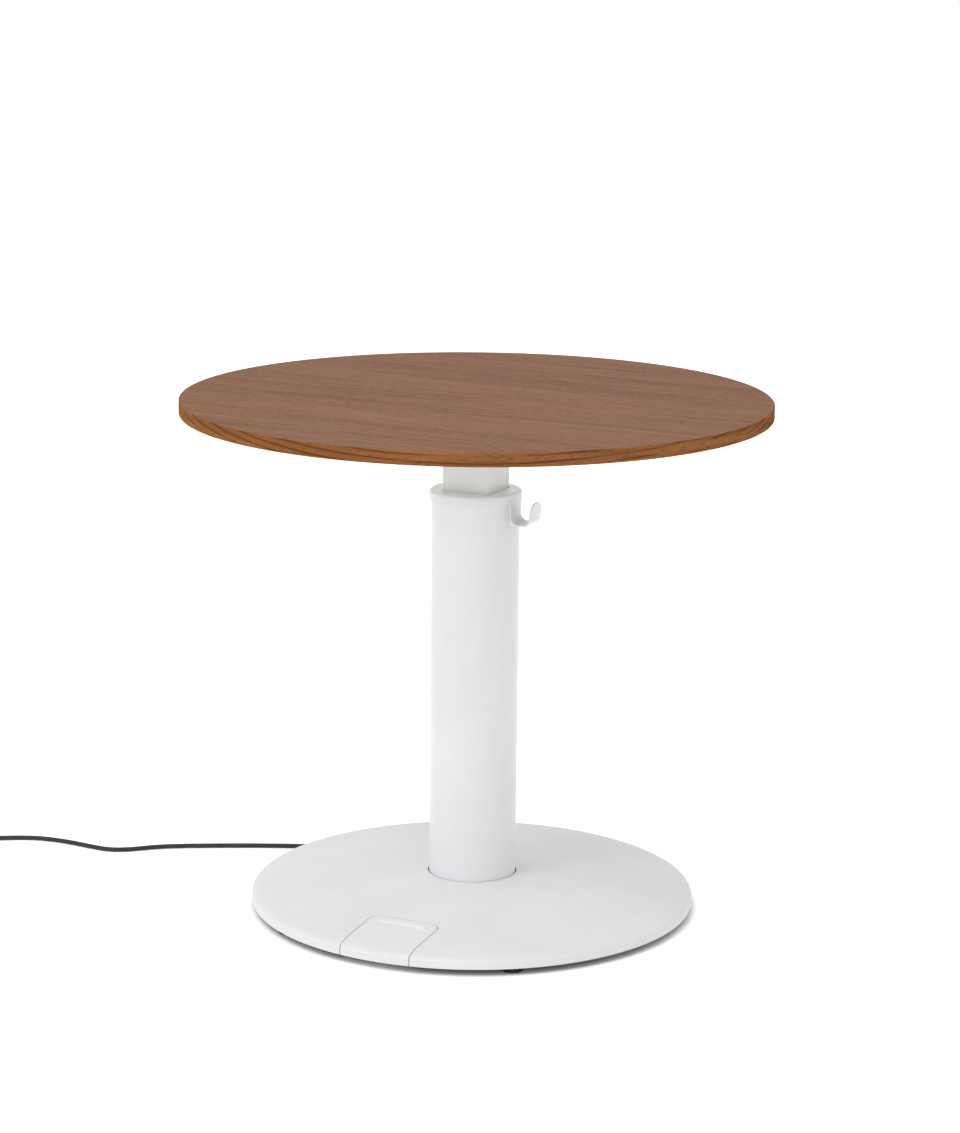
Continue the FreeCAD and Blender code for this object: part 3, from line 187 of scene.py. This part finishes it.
def coilCentre():
    start, ahead = coilHeading()
    inward = Vector((ahead.y, -ahead.x, 0))
    return start + inward * mainsLead["coilRadius"], inward


def coilPoints():
    start, ahead = coilHeading()
    centre, inward = coilCentre()
    steps = mainsLead["coilTurns"] * mainsLead["stepsPerTurn"]
    half = mainsLead["coilTurns"] / 2
    outset = 1 / math.cos(math.pi / mainsLead["stepsPerTurn"])  # the spline runs inside its points
    points = []
    for step in range(1, steps):
        turn = step / mainsLead["stepsPerTurn"]
        angle = math.atan2(-inward.y, -inward.x) - 2 * math.pi * turn
        radius = mainsLead["coilRadius"] + mainsLead["coilPitch"] * (abs(turn - half) - half)
        climb = min(max((turn - half) * 2 + 0.5, 0), 1)
        out = Vector((math.cos(angle), math.sin(angle), 0)) * radius * outset
        points.append(centre + out + Vector((0, 0, mainsLead["coilLayer"] * climb)))
    top = start + Vector((0, 0, mainsLead["coilLayer"]))
    return points + [top, top + ahead * mainsLead["tail"] / 2, top + ahead * mainsLead["tail"]]


def addMainsLead():
    points = [Vector(p) for p in mainsLead["route"]] + coilPoints()
    lead = tubeAlong("mainsLead", points, mainsLead["diameter"] / 2, *mainsLead["smoothing"])
    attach(lead, "base")
    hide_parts("mains_lead", "lead_coil")
    return lead


lead = addMainsLead()
print("mains lead laid")


# plug: a grip body with sunk ribs and a ringed boot on the lead
plug = {
    "boot": 0.020,
    "bootRadius": 0.0055,
    "bootTip": 0.0041,
    "bootBands": 10,  # every second one is a groove
    "bootGroove": 0.0006,
    "length": 0.034,
    "width": 0.028,
    "flange": 0.009,  # full-size part at the blades
    "waist": (0.8, 0.78),  # width and height of the back end against the front
    "round": 0.0042,
    "backRound": 0.0022,
    "frontRound": 0.0008,
    "ribs": 5,
    "ribDepth": 0.0009,
    "ribsFrom": 0.005,  # in front of the boot
    "ribsTo": 0.002,  # behind the full-size part
    "grooveLip": 0.0003,
}


def addPlugBoot():
    middle = plug["boot"] / 2
    bpy.ops.mesh.primitive_cylinder_add(vertices=28, radius=plug["bootRadius"], depth=plug["boot"],
                                        location=(middle, 0, 0), rotation=(0, math.radians(90), 0))
    boot = startEdit("plugBoot")
    pickFaces(boot, lambda middle, normal: normal.x < -0.9)
    tip = plug["bootTip"] / plug["bootRadius"]
    bpy.ops.transform.resize(value=(1, tip, tip))
    band = plug["boot"] / plug["bootBands"]
    for cut in range(1, plug["bootBands"]):
        sliceAcross((band * cut, 0, 0), (1, 0, 0))
    for cut in range(1, plug["bootBands"] - 1, 2):
        low = band * cut
        pickFaces(boot, lambda middle, normal: low < middle.x < low + band)
        bpy.ops.mesh.inset(thickness=plug["grooveLip"], depth=-plug["bootGroove"])
    bpy.ops.object.mode_set(mode="OBJECT")
    boot.select_set(False)
    return boot


def addPlugBody(height):
    front = plug["boot"] + plug["length"]
    bpy.ops.mesh.primitive_cube_add(size=1, location=(front - plug["length"] / 2, 0, 0),
                                    scale=(plug["length"], plug["width"], height))
    body = startEdit("plugBody")
    shoulder = front - plug["flange"]
    sliceAcross((shoulder, 0, 0), (1, 0, 0))
    pickFaces(body, lambda middle, normal: normal.x < -0.9)
    bpy.ops.transform.resize(value=(1, *plug["waist"]))
    pickEdges(body, lambda a, b: abs(a.x - b.x) > plug["flange"] / 2)
    bpy.ops.mesh.bevel(offset=plug["round"], segments=4)
    pickEdges(body, lambda a, b: max(a.x, b.x) < plug["boot"] + hair)
    bpy.ops.mesh.bevel(offset=plug["backRound"], segments=3)
    pickEdges(body, lambda a, b: min(a.x, b.x) > front - hair)
    bpy.ops.mesh.bevel(offset=plug["frontRound"], segments=2)
    start = plug["boot"] + plug["ribsFrom"]
    step = (shoulder - plug["ribsTo"] - start) / (2 * plug["ribs"] - 1)
    for cut in range(2 * plug["ribs"]):
        sliceAcross((start + step * cut, 0, 0), (1, 0, 0))
    for rib in range(plug["ribs"]):
        low = start + 2 * step * rib
        pickFaces(body, lambda middle, normal: low < middle.x < low + step and abs(normal.y) > 0.8)
        bpy.ops.mesh.inset(thickness=plug["grooveLip"], depth=-plug["ribDepth"])
    bpy.ops.object.mode_set(mode="OBJECT")
    return body


def addPlug():
    start, ahead = coilHeading()
    place = start + ahead * mainsLead["tail"] + Vector((0, 0, mainsLead["coilLayer"]))
    boot = addPlugBoot()
    body = addPlugBody(2 * place.z)
    boot.select_set(True)
    bpy.ops.object.join()
    putInPlace(body, place, math.atan2(ahead.y, ahead.x))
    handOver(body, "base", "lead_black", "plug_body")
    return body


plugPiece = addPlug()
print("plug made")


# tie: a hook-and-loop strap round the coil, its tail folded back over the top
tie = {
    "width": 0.012,
    "sheet": 0.0011,
    "room": 0.00085,  # between the strap and the turns
    "round": 0.004,
    "tailLift": 0.001265,  # from the strap to the tail on top of it
    "tailSteps": [(0.003, 0.0004), (0.0025, 0.0014), (0.0012, 0.0024), (0.0004, 0.0034)],  # out and down
}


def addTie():
    centre, inward = coilCentre()
    spare = mainsLead["diameter"] / 2 + tie["room"]
    near = mainsLead["coilRadius"] - mainsLead["coilPitch"] * mainsLead["coilTurns"] / 2 - spare
    far = mainsLead["coilRadius"] - mainsLead["coilPitch"] / 2 + spare
    low, high = centre.z - spare, centre.z + mainsLead["coilLayer"] + spare
    bpy.ops.mesh.primitive_cube_add(size=1, location=((near + far) / 2, 0, (low + high) / 2),
                                    scale=(far - near, tie["width"], high - low))
    strap = startEdit("leadTie")
    pickFaces(strap, lambda middle, normal: abs(normal.y) > 0.9)
    bpy.ops.mesh.delete(type="ONLY_FACE")
    pickEdges(strap, lambda a, b: abs(a.y - b.y) > tie["width"] / 2)
    bpy.ops.mesh.bevel(offset=tie["round"], segments=5)
    pickFaces(strap, lambda middle, normal: normal.z > 0.95)
    bpy.ops.mesh.duplicate()
    bpy.ops.transform.translate(value=(0, 0, tie["tailLift"]))
    edge = far - tie["round"] - hair
    pickEdges(strap, lambda a, b: min(a.x, b.x) > edge and min(a.z, b.z) > high + tie["sheet"] / 2)
    for out, drop in tie["tailSteps"]:
        bpy.ops.mesh.extrude_edges_move(TRANSFORM_OT_translate={"value": (out, 0, -drop)})
    bpy.ops.object.mode_set(mode="OBJECT")
    wall = strap.modifiers.new("sheet", "SOLIDIFY")
    wall.thickness = tie["sheet"]
    wall.offset = 1
    bpy.ops.object.modifier_apply(modifier=wall.name)
    putInPlace(strap, (centre.x, centre.y, 0), math.atan2(inward.y, inward.x))
    handOver(strap, "base", "tie_fabric", "lead_tie")
    return strap


tiePiece = addTie()
print("coil tied")


# levelling feet: a notched pad to turn by hand, a neck and a screw
foot = {
    "pad": 0.013,
    "padHeight": 0.008,
    "padRim": 0.0012,
    "padRise": 0.0004,  # from the rim to the neck
    "padRound": 0.0008,
    "neck": 0.008,
    "neckTop": 0.011,
    "screw": 0.004,
    "screwTop": 0.0235,
    "screwTip": 0.0008,
    "notches": 12,
    "notchDepth": 0.0009,
    "notchWall": 0.0007,
    "circle": 0.2837,
    "angles": [-54, 18, 90, 162, 234],
}


def addFoot():
    sides = foot["notches"] * 4
    bpy.ops.mesh.primitive_cylinder_add(vertices=sides, radius=foot["pad"], depth=foot["padHeight"],
                                        location=(0, 0, foot["padHeight"] / 2))
    pad = startEdit("levelFoot")
    pickFaces(pad, lambda middle, normal: normal.z > 0.9)
    bpy.ops.mesh.inset(thickness=foot["padRim"])
    bpy.ops.mesh.inset(thickness=foot["pad"] - foot["neck"] - foot["padRim"], depth=foot["padRise"])
    rise = foot["neckTop"] - foot["padHeight"] - foot["padRise"]
    bpy.ops.mesh.extrude_region_move(TRANSFORM_OT_translate={"value": (0, 0, rise)})
    bpy.ops.mesh.inset(thickness=foot["neck"] - foot["screw"])
    rise = foot["screwTop"] - foot["neckTop"] - foot["screwTip"]
    bpy.ops.mesh.extrude_region_move(TRANSFORM_OT_translate={"value": (0, 0, rise)})
    bpy.ops.mesh.inset(thickness=foot["screwTip"], depth=foot["screwTip"])

    def inNotch(middle, normal):
        turn = math.degrees(math.atan2(middle.y, middle.x)) % (360 / foot["notches"])
        return abs(normal.z) < 0.1 and middle.z < foot["padHeight"] and turn > 180 / foot["notches"]

    pickFaces(pad, inNotch)
    bpy.ops.mesh.inset(thickness=foot["notchWall"], depth=-foot["notchDepth"])
    pickEdges(pad, lambda a, b: max(a.z, b.z) < hair)
    bpy.ops.mesh.bevel(offset=foot["padRound"], segments=3)
    bpy.ops.object.mode_set(mode="OBJECT")
    pad.select_set(False)
    return pad


def addFeet():
    pads = [addFoot()]
    while len(pads) < len(foot["angles"]):
        copy = pads[0].copy()
        copy.data = pads[0].data.copy()
        scene.collection.objects.link(copy)
        pads.append(copy)
    for count, (pad, angle) in enumerate(zip(pads, foot["angles"]), 1):
        turn = math.radians(angle)
        pad.name = "levelFoot" + str(count)
        pad.select_set(True)
        bpy.context.view_layer.objects.active = pad
        putInPlace(pad, (foot["circle"] * math.cos(turn), foot["circle"] * math.sin(turn), 0), turn)
        handOver(pad, "leveller_" + str(count), "black_plastic", "leveller_" + str(count))


addFeet()
print("levelling feet made")


# wound pieces that stretch between two bodies: the motor's coiled lead and the pedal's return springs
windingSmoothing = (4, 3)  # steps from point to point, and round the section
motorLead = {
    "radius": 0.002,
    "coil": 0.022,
    "turns": 24,
    "low": 0.034,  # on its socket
    "high": 0.527,  # in the drive mount
    "rise": 0.014,  # straight ends
    "start": 155.0,  # degrees, the side the socket is on
    "stepsPerTurn": 12,
}
spring = {
    "wire": 0.00045,
    "coil": 0.0045,
    "turns": 4,
    "low": 0.01845,
    "high": 0.02533,
    "aside": 0.03,
    "front": -0.2627,
    "stepsPerTurn": 16,
}


def windingPoints(coil, turns, low, high, start, stepsPerTurn):
    outset = 1 / math.cos(math.pi / stepsPerTurn)  # the spline runs inside its points
    points = []
    for step in range(turns * stepsPerTurn + 1):
        angle = math.radians(start) + 2 * math.pi * step / stepsPerTurn
        height = low + (high - low) * step / (turns * stepsPerTurn)
        points.append(Vector((coil * outset * math.cos(angle), coil * outset * math.sin(angle), height)))
    return points


def addWinding(name, points, radius, place=(0, 0, 0)):
    winding = tubeAlong(name, points, radius, *windingSmoothing)
    winding.select_set(True)
    bpy.context.view_layer.objects.active = winding
    bpy.ops.object.convert(target="MESH")
    putInPlace(bpy.context.object, place)
    return bpy.context.object


def stretchBetween(piece, slot, solid):
    piece.select_set(False)
    pieces[piece.name] = slot
    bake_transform(piece)
    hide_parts(solid)


def addMotorLead():
    low, high, rise = motorLead["low"], motorLead["high"], motorLead["rise"]
    turns = windingPoints(motorLead["coil"], motorLead["turns"], low + rise, high - rise,
                          motorLead["start"] + 90, motorLead["stepsPerTurn"])
    ends = []
    for angle, heights in ((motorLead["start"], (low, low + rise / 2)),
                           (motorLead["start"] + 180, (high - rise / 2, high))):
        turn = math.radians(angle)
        x, y = motorLead["coil"] * math.cos(turn), motorLead["coil"] * math.sin(turn)
        ends.append([Vector((x, y, height)) for height in heights])
    winding = addWinding("motorLead", ends[0] + turns + ends[1], motorLead["radius"])
    stretchBetween(winding, "lead_black", "motor_lead")


def addSprings():
    wound = []
    for side in (-1, 1):
        points = windingPoints(spring["coil"], spring["turns"], spring["low"], spring["high"], 0,
                               spring["stepsPerTurn"])
        wound.append(addWinding("pedalSprings", points, spring["wire"],
                                (side * spring["aside"], spring["front"], 0)))
    wound[0].select_set(True)
    bpy.context.view_layer.objects.active = wound[0]
    bpy.ops.object.join()
    stretchBetween(wound[0], "bright_steel", "pedal_springs")


addMotorLead()
addSprings()
print("wound pieces made")


# materials
class Wire:  # an output socket; sums written with it add Math nodes
    def __init__(self, socket):
        self.socket = socket
        self.tree = socket.id_data

    def node(self, kind, settings, inputs, output=0):
        made = self.tree.nodes.new("ShaderNode" + kind)
        for name, value in settings.items():
            if name == "stops":
                fillRamp(made.color_ramp, value)
            else:
                setattr(made, name, value)
        for name, value in inputs.items():
            if isinstance(value, Wire):
                self.tree.links.new(value.socket, made.inputs[name])
            else:
                made.inputs[name].default_value = value
        return Wire(made.outputs[output])

    def maths(self, operation, first, second):
        return self.node("Math", {"operation": operation}, {0: first, 1: second})

    def __add__(self, other):
        return self.maths("ADD", self, other)

    def __radd__(self, other):
        return self.maths("ADD", other, self)

    def __sub__(self, other):
        return self.maths("SUBTRACT", self, other)

    def __rsub__(self, other):
        return self.maths("SUBTRACT", other, self)

    def __mul__(self, other):
        return self.maths("MULTIPLY", self, other)

    def __rmul__(self, other):
        return self.maths("MULTIPLY", other, self)

    def __pow__(self, other):
        return self.maths("POWER", self, other)

    def stretched(self, scale, turn=(0, 0, 0), move=(0, 0, 0)):
        return self.node("Mapping", {},
                         {"Vector": self, "Scale": scale, "Rotation": turn, "Location": move})

    def noise(self, scale, detail=2.0, rough=0.5):
        return self.node("TexNoise", {},
                         {"Vector": self, "Scale": scale, "Detail": detail, "Roughness": rough})

    def between(self, low, high):  # 0 below low, 1 above high
        return self.node("MapRange", {"interpolation_type": "SMOOTHSTEP"},
                         {"Value": self, "From Min": low, "From Max": high})

    def mix(self, first, second, way="MIX"):
        return self.node("Mix", {"data_type": "RGBA", "blend_type": way}, {0: self, 6: first, 7: second}, 2)

    def bump(self, strength, distance):
        return self.node("Bump", {}, {"Height": self, "Strength": strength, "Distance": distance})


def fillRamp(ramp, stops):
    while len(ramp.elements) < len(stops):
        ramp.elements.new(0.5)
    for element, (place, colour) in zip(ramp.elements, stops):
        element.position = place
        element.color = colour


def rgb(red, green, blue):  # colour as seen on screen, 0 to 255
    def linear(level):
        share = level / 255
        return share / 12.92 if share <= 0.04045 else ((share + 0.055) / 1.055) ** 2.4
    return (linear(red), linear(green), linear(blue), 1)


class Finish:  # a new material, its surface shader and its place on the piece
    def __init__(self, name, roughness, gloss=0.5, metal=0.0):
        self.material = bpy.data.materials.new(name)
        self.material.use_nodes = True
        tree = self.material.node_tree
        self.shader = tree.nodes["Principled BSDF"]
        self.shader.inputs["Roughness"].default_value = roughness
        self.shader.inputs["Specular IOR Level"].default_value = gloss
        self.shader.inputs["Metallic"].default_value = metal
        self.place = Wire(tree.nodes.new("ShaderNodeTexCoord").outputs["Object"])

    def feed(self, **values):
        names = {"colour": "Base Color", "roughness": "Roughness", "normal": "Normal"}
        for name, wire in values.items():
            self.material.node_tree.links.new(wire.socket, self.shader.inputs[names[name]])


walnut = {
    "dark": rgb(118, 86, 66),
    "brown": rgb(146, 108, 85),
    "pink": rgb(150, 107, 88),
    "pale": rgb(164, 126, 101),
    "pore": rgb(88, 60, 44),
    "grainTurn": math.radians(2.0),
    "wander": (1.6, 6, 1),  # this and the next ones: times a metre along, across and through the board
    "bands": (1.5, 17, 1),
    "rings": (4.0, 120, 1),
    "lines": (9, 290, 1),
    "flecks": (130, 240, 1),
    "fibre": (28, 1700, 1),
    "hues": (1.8, 24, 1),
    "streaks": (1.8, 120, 1),
    "pores": (55, 820, 1),
    "stray": 0.025,  # metres that the grain wanders across
    "roughness": 0.7,
    "gloss": 0.04,
}


def walnutVeneer():
    finish = Finish("walnutVeneer", walnut["roughness"], walnut["gloss"])
    turned = finish.place.stretched((1, 1, 1), (0, 0, walnut["grainTurn"]))
    wander = turned.stretched(walnut["wander"]).noise(1.0) - 0.5
    drift = turned.node("CombineXYZ", {}, {"Y": wander * walnut["stray"]})
    along = turned.node("VectorMath", {"operation": "ADD"}, {0: turned, 1: drift})
    bands = along.stretched(walnut["bands"]).noise(1.0)
    rings = along.stretched(walnut["rings"]).noise(1.0, 3.0, 0.6)
    lines = along.stretched(walnut["lines"]).noise(1.0, 2.0, 0.6)
    flecks = along.stretched(walnut["flecks"]).noise(1.0, 3.0, 0.7)
    fibre = along.stretched(walnut["fibre"]).noise(1.0, 3.0, 0.6)
    hue = along.stretched(walnut["hues"], move=(2.3, 5.1, 0)).noise(1.0).between(0.38, 0.62)
    streaks = along.stretched(walnut["streaks"], move=(3.1, 1.7, 0)).noise(1.0).between(0.6, 0.7)
    pores = along.stretched(walnut["pores"]).noise(1.0, 2.0, 0.4).between(0.62, 0.74)
    tone = bands * 0.24 + rings * 0.27 + lines * 0.3 + flecks * 0.5
    colour = tone.between(0.51, 0.75).mix(walnut["dark"], hue.mix(walnut["brown"], walnut["pink"]))
    colour = (streaks * 0.35).mix(colour, walnut["pale"])
    colour = (fibre.between(0.35, 0.7) * 0.2).mix(colour, walnut["pale"])
    colour = (pores * 0.45).mix(colour, walnut["pore"])
    height = fibre * 0.4 - pores
    finish.feed(colour=colour, roughness=0.62 + fibre * 0.16, normal=height.bump(0.15, 0.0002))
    return finish.material


edgeWood = {
    "dark": rgb(88, 49, 24),
    "brown": rgb(141, 91, 53),
    "pale": rgb(163, 111, 68),
    "rings": (8.0, -17.0, 118.0),  # a metre along each axis, so that the dark lines lean
    "waver": 2.5,  # rings that a line strays by
    "slow": (2.6, 2.6, 12),  # this and the next ones: times a metre along each axis
    "speckle": (110, 110, 420),
    "broad": (5, 5, 90),
    "grain": (24, 24, 900),
    "roughness": 0.65,
    "gloss": 0.0,
}


def walnutEdge():
    finish = Finish("walnutEdge", edgeWood["roughness"], edgeWood["gloss"])
    slow = finish.place.stretched(edgeWood["slow"]).noise(1.0)
    layer = finish.place.node("VectorMath", {"operation": "DOT_PRODUCT"},
                              {0: finish.place, 1: edgeWood["rings"]}, 1)
    ring = layer + slow * edgeWood["waver"]
    ring = ring.node("Math", {"operation": "FRACT"}, {0: ring})
    speckle = finish.place.stretched(edgeWood["speckle"]).noise(1.0, 3.0, 0.7)
    broad = finish.place.stretched(edgeWood["broad"], move=(1.3, 0.4, 2.0)).noise(1.0)
    grain = finish.place.stretched(edgeWood["grain"]).noise(1.0, 3.0, 0.6)
    dark = ring.between(0.62, 0.95) * broad.between(0.4, 0.58)
    colour = broad.between(0.3, 0.7).mix(edgeWood["pale"], edgeWood["brown"])
    colour = (dark * 0.85).mix(colour, edgeWood["dark"])
    colour = (grain.between(0.4, 0.75) * 0.3).mix(colour, edgeWood["dark"])
    colour = (speckle.between(0.48, 0.7) * 0.5).mix(colour, edgeWood["dark"])
    finish.feed(colour=colour, roughness=0.55 + grain * 0.2, normal=grain.bump(0.12, 0.0002))
    return finish.material


def paint(name, colour, roughness, grain, strength, gloss=0.5):
    finish = Finish(name, roughness, gloss)
    fine = finish.place.noise(grain, 2.0, 0.6)
    cloud = finish.place.noise(9.0, 3.0, 0.55)
    darker = tuple(level * 0.955 for level in colour[:3]) + (1,)
    tint = cloud.between(0.3, 0.75).mix(darker, colour)
    finish.feed(colour=tint, roughness=roughness - 0.06 + fine * 0.12, normal=fine.bump(strength, 0.0002))
    return finish.material


# collar moulding colours: the side colour is its own, the paler upper face is painted light
satinPaintedLight = {
    "side": rgb(227, 227, 230),
    "top": rgb(250, 250, 248),
    "paintedLightFrom": (0.5815, 0.5858),  # the collar's upper face is the paler one from these heights up: painted light, standing in for the light that face gets under the top
}


def whiteSatin():
    finish = Finish("whiteSatin", 0.22, 0.7)
    fine = finish.place.noise(1500, 2.0, 0.6)
    level = finish.place.node("SeparateXYZ", {}, {"Vector": finish.place}, 2)
    cloud = finish.place.noise(40.0, 3.0, 0.55).between(0.2, 0.8) * 0.3
    # painted light: above these heights the collar is painted paler than its sides
    tint = level.between(*satinPaintedLight["paintedLightFrom"]).mix(satinPaintedLight["side"], satinPaintedLight["top"])
    tint = cloud.mix(tint, satinPaintedLight["side"])
    finish.feed(colour=tint, roughness=0.17 + fine * 0.1, normal=fine.bump(0.03, 0.0002))
    return finish.material


def metal(name, colour, roughness, stretch, strength):
    finish = Finish(name, roughness, 0.5, 1.0)
    lines = finish.place.stretched(stretch).noise(1.0, 3.0, 0.6)
    cloud = finish.place.noise(30.0, 3.0, 0.55)
    darker = tuple(level * 0.78 for level in colour[:3]) + (1,)
    tint = (cloud * 0.6 + lines * 0.4).between(0.3, 0.7).mix(darker, colour)
    finish.feed(colour=tint, roughness=roughness - 0.1 + lines * 0.2, normal=lines.bump(strength, 0.0001))
    return finish.material


def plastic(name, colour, roughness, grain, strength):
    finish = Finish(name, roughness, 0.45)
    fine = finish.place.noise(grain, 2.0, 0.55)
    cloud = finish.place.noise(45.0, 2.0, 0.5)
    lighter = tuple(min(level * 1.35 + 0.004, 1) for level in colour[:3]) + (1,)
    tint = cloud.between(0.35, 0.75).mix(colour, lighter)
    finish.feed(colour=tint, roughness=roughness - 0.08 + fine * 0.16, normal=fine.bump(strength, 0.0002))
    return finish.material


finishes = {
    "walnut_veneer": walnutVeneer(),
    "walnut_edge": walnutEdge(),
    "backing": paint("backingSheet", rgb(236, 233, 222), 0.55, 500, 0.1),
    "board_core": paint("boardCore", rgb(176, 144, 104), 0.8, 350, 0.5),
    "white_paint": paint("whitePowderCoat", rgb(233, 233, 236), 0.34, 1300, 0.06),
    "white_shell": paint("whiteMoulded", rgb(232, 232, 235), 0.5, 1700, 0.05, 0.35),
    "tread": paint("treadWhite", rgb(243, 243, 244), 0.6, 1700, 0.04, 0.2),
    "black_steel": plastic("blackSteel", rgb(34, 34, 35), 0.5, 1200, 0.1),
    "cast_alloy": metal("castAlloy", rgb(196, 198, 200), 0.48, (400, 400, 400), 0.15),
    "motor_case": plastic("motorCase", rgb(62, 62, 64), 0.45, 900, 0.1),
    "bright_steel": metal("brightSteel", rgb(200, 200, 202), 0.34, (150, 150, 1500), 0.08),
    "nylon": plastic("blackNylon", rgb(40, 40, 41), 0.5, 1500, 0.08),
    "bronze": metal("bronze", rgb(190, 150, 92), 0.35, (300, 300, 1600), 0.08),
    "rubber": plastic("softRubber", rgb(26, 26, 27), 0.75, 900, 0.2),
    "black_plastic": plastic("blackPlastic", rgb(22, 22, 24), 0.48, 1600, 0.12),
    "red_plastic": plastic("redPlastic", rgb(178, 42, 36), 0.4, 1600, 0.05),
    "circuit": plastic("circuitGreen", rgb(32, 92, 58), 0.35, 700, 0.1),
    "lead_black": plastic("leadJacket", rgb(27, 27, 29), 0.5, 2200, 0.12),
    "tie_fabric": plastic("tieFabric", rgb(24, 24, 25), 0.85, 1800, 0.8),
    "pin_brass": metal("pinBrass", rgb(214, 186, 122), 0.25, (1200, 1200, 200), 0.05),
}

for part in frame["record"]["subparts"]:
    mesh = nodes[part["node"]].data
    mesh.materials.clear()
    mesh.materials.append(finishes[part["material_slot"]])
lead.data.materials.append(finishes["lead_black"])
for name, slot in pieces.items():
    bpy.data.objects[name].data.materials.append(finishes[slot])
satin = whiteSatin()
for name in ("collar", "bag_hook"):
    nodes[name].data.materials[0] = satin
nodes["lift_tube"].data.materials[0] = paint("tubePowderCoat", rgb(233, 233, 232), 0.36, 1300, 0.06, 0.4)
print("finishes:", len(finishes))


# studio: white floor and soft light from the left and the front
studio = {
    "floor": 14.0,
    "floorLevel": -0.0002,
    "floorShade": (0.85, 0.85, 0.85, 1),
    "floorGlow": 0.17,  # light the floor gives back to the underside of things
    "floorSeen": (1.55, 1.55, 1.55, 1),  # as the camera sees it, so that only its deep shade shows
    "floorPaintedShade": (1.1, 1.1, 1.1, 1),  # the same close to the base, darker there: painted shade that deepens the base's contact shadow on the floor
    "floorFar": (1.75, 1.75, 1.75, 1),  # and far out, where the lamps hardly reach
    # distances from the middle over which the floor's painted shade fades out
    "paintedShadeUpTo": (0.298, 0.316),
    "farFrom": (1.5, 5),
    "skyLow": 0.87,
    "skyHigh": 0.77,
    "skyRise": (0, 0.7),  # heights between which one passes into the other
    "aim": Vector((0, 0, 0.4)),  # where the lamps point
    "lamps": [  # power, size, degrees from the front, reach, height
        (14.0, 1.3, -22.0, 3.4, 1.7),
        (33.0, 1.5, -18.0, 2.6, 3.7),
    ],
}


def seenByEye(tree):
    path = tree.nodes.new("ShaderNodeLightPath")
    eye = Wire(path.outputs["Is Camera Ray"])
    seen = eye + Wire(path.outputs["Is Glossy Ray"]) + Wire(path.outputs["Is Transmission Ray"])
    return seen.between(0, 1)


def addFloor():
    bpy.ops.mesh.primitive_plane_add(size=studio["floor"], location=(0, 0, studio["floorLevel"]))
    floor = bpy.context.object
    floor.name = "floor"
    material = bpy.data.materials.new("floorWhite")
    material.use_nodes = True
    tree = material.node_tree
    tree.nodes.remove(tree.nodes["Principled BSDF"])
    seen = seenByEye(tree)
    matt = seen.node("BsdfDiffuse", {}, {"Color": studio["floorShade"]})
    glow = seen.node("Emission", {}, {"Strength": studio["floorGlow"]})
    shade = seen.node("AddShader", {}, {0: matt, 1: glow})
    place = Wire(tree.nodes.new("ShaderNodeTexCoord").outputs["Object"])
    away = place.node("VectorMath", {"operation": "LENGTH"}, {0: place}, 1)
    # painted shade: the floor as the camera sees it is darker close to the base's rim
    tint = away.between(*studio["paintedShadeUpTo"]).mix(studio["floorPaintedShade"], studio["floorSeen"])
    tint = away.between(*studio["farFrom"]).mix(tint, studio["floorFar"])
    bright = seen.node("BsdfDiffuse", {}, {"Color": tint})
    both = seen.node("MixShader", {}, {0: seen, 1: shade, 2: bright})
    under = Wire(tree.nodes.new("ShaderNodeNewGeometry").outputs["Backfacing"])
    clear = seen.node("BsdfTransparent", {}, {})
    whole = seen.node("MixShader", {}, {0: under, 1: both, 2: clear})  # see-through from below
    tree.links.new(whole.socket, tree.nodes["Material Output"].inputs["Surface"])
    floor.data.materials.append(material)


def addWorld():
    world = bpy.data.worlds.new("studioWorld")
    world.use_nodes = True
    scene.world = world
    tree = world.node_tree
    tree.nodes.remove(tree.nodes["Background"])
    seen = seenByEye(tree)
    ray = Wire(tree.nodes.new("ShaderNodeTexCoord").outputs["Generated"])
    height = ray.node("SeparateXYZ", {}, {"Vector": ray}, 2).between(*studio["skyRise"])
    low = seen.node("Background", {}, {"Color": (1, 1, 1, 1), "Strength": studio["skyLow"]})
    high = seen.node("Background", {}, {"Color": (1, 1, 1, 1), "Strength": studio["skyHigh"]})
    soft = seen.node("MixShader", {}, {0: height, 1: low, 2: high})
    white = seen.node("Background", {}, {"Color": (1, 1, 1, 1), "Strength": 1.0})
    both = seen.node("MixShader", {}, {0: seen, 1: soft, 2: white})
    tree.links.new(both.socket, tree.nodes["World Output"].inputs["Surface"])


def addLamp(power, size, aside, reach, height):
    turn = math.radians(aside)
    place = Vector((math.sin(turn) * reach, -math.cos(turn) * reach, height))
    bpy.ops.object.light_add(type="AREA", location=place)
    lamp = bpy.context.object
    lamp.data.size = size
    lamp.data.energy = power
    lamp.rotation_mode = "QUATERNION"
    lamp.rotation_quaternion = (studio["aim"] - place).to_track_quat("-Z", "Y")


addFloor()
addWorld()
for lamp in studio["lamps"]:
    addLamp(*lamp)
print("studio lit")
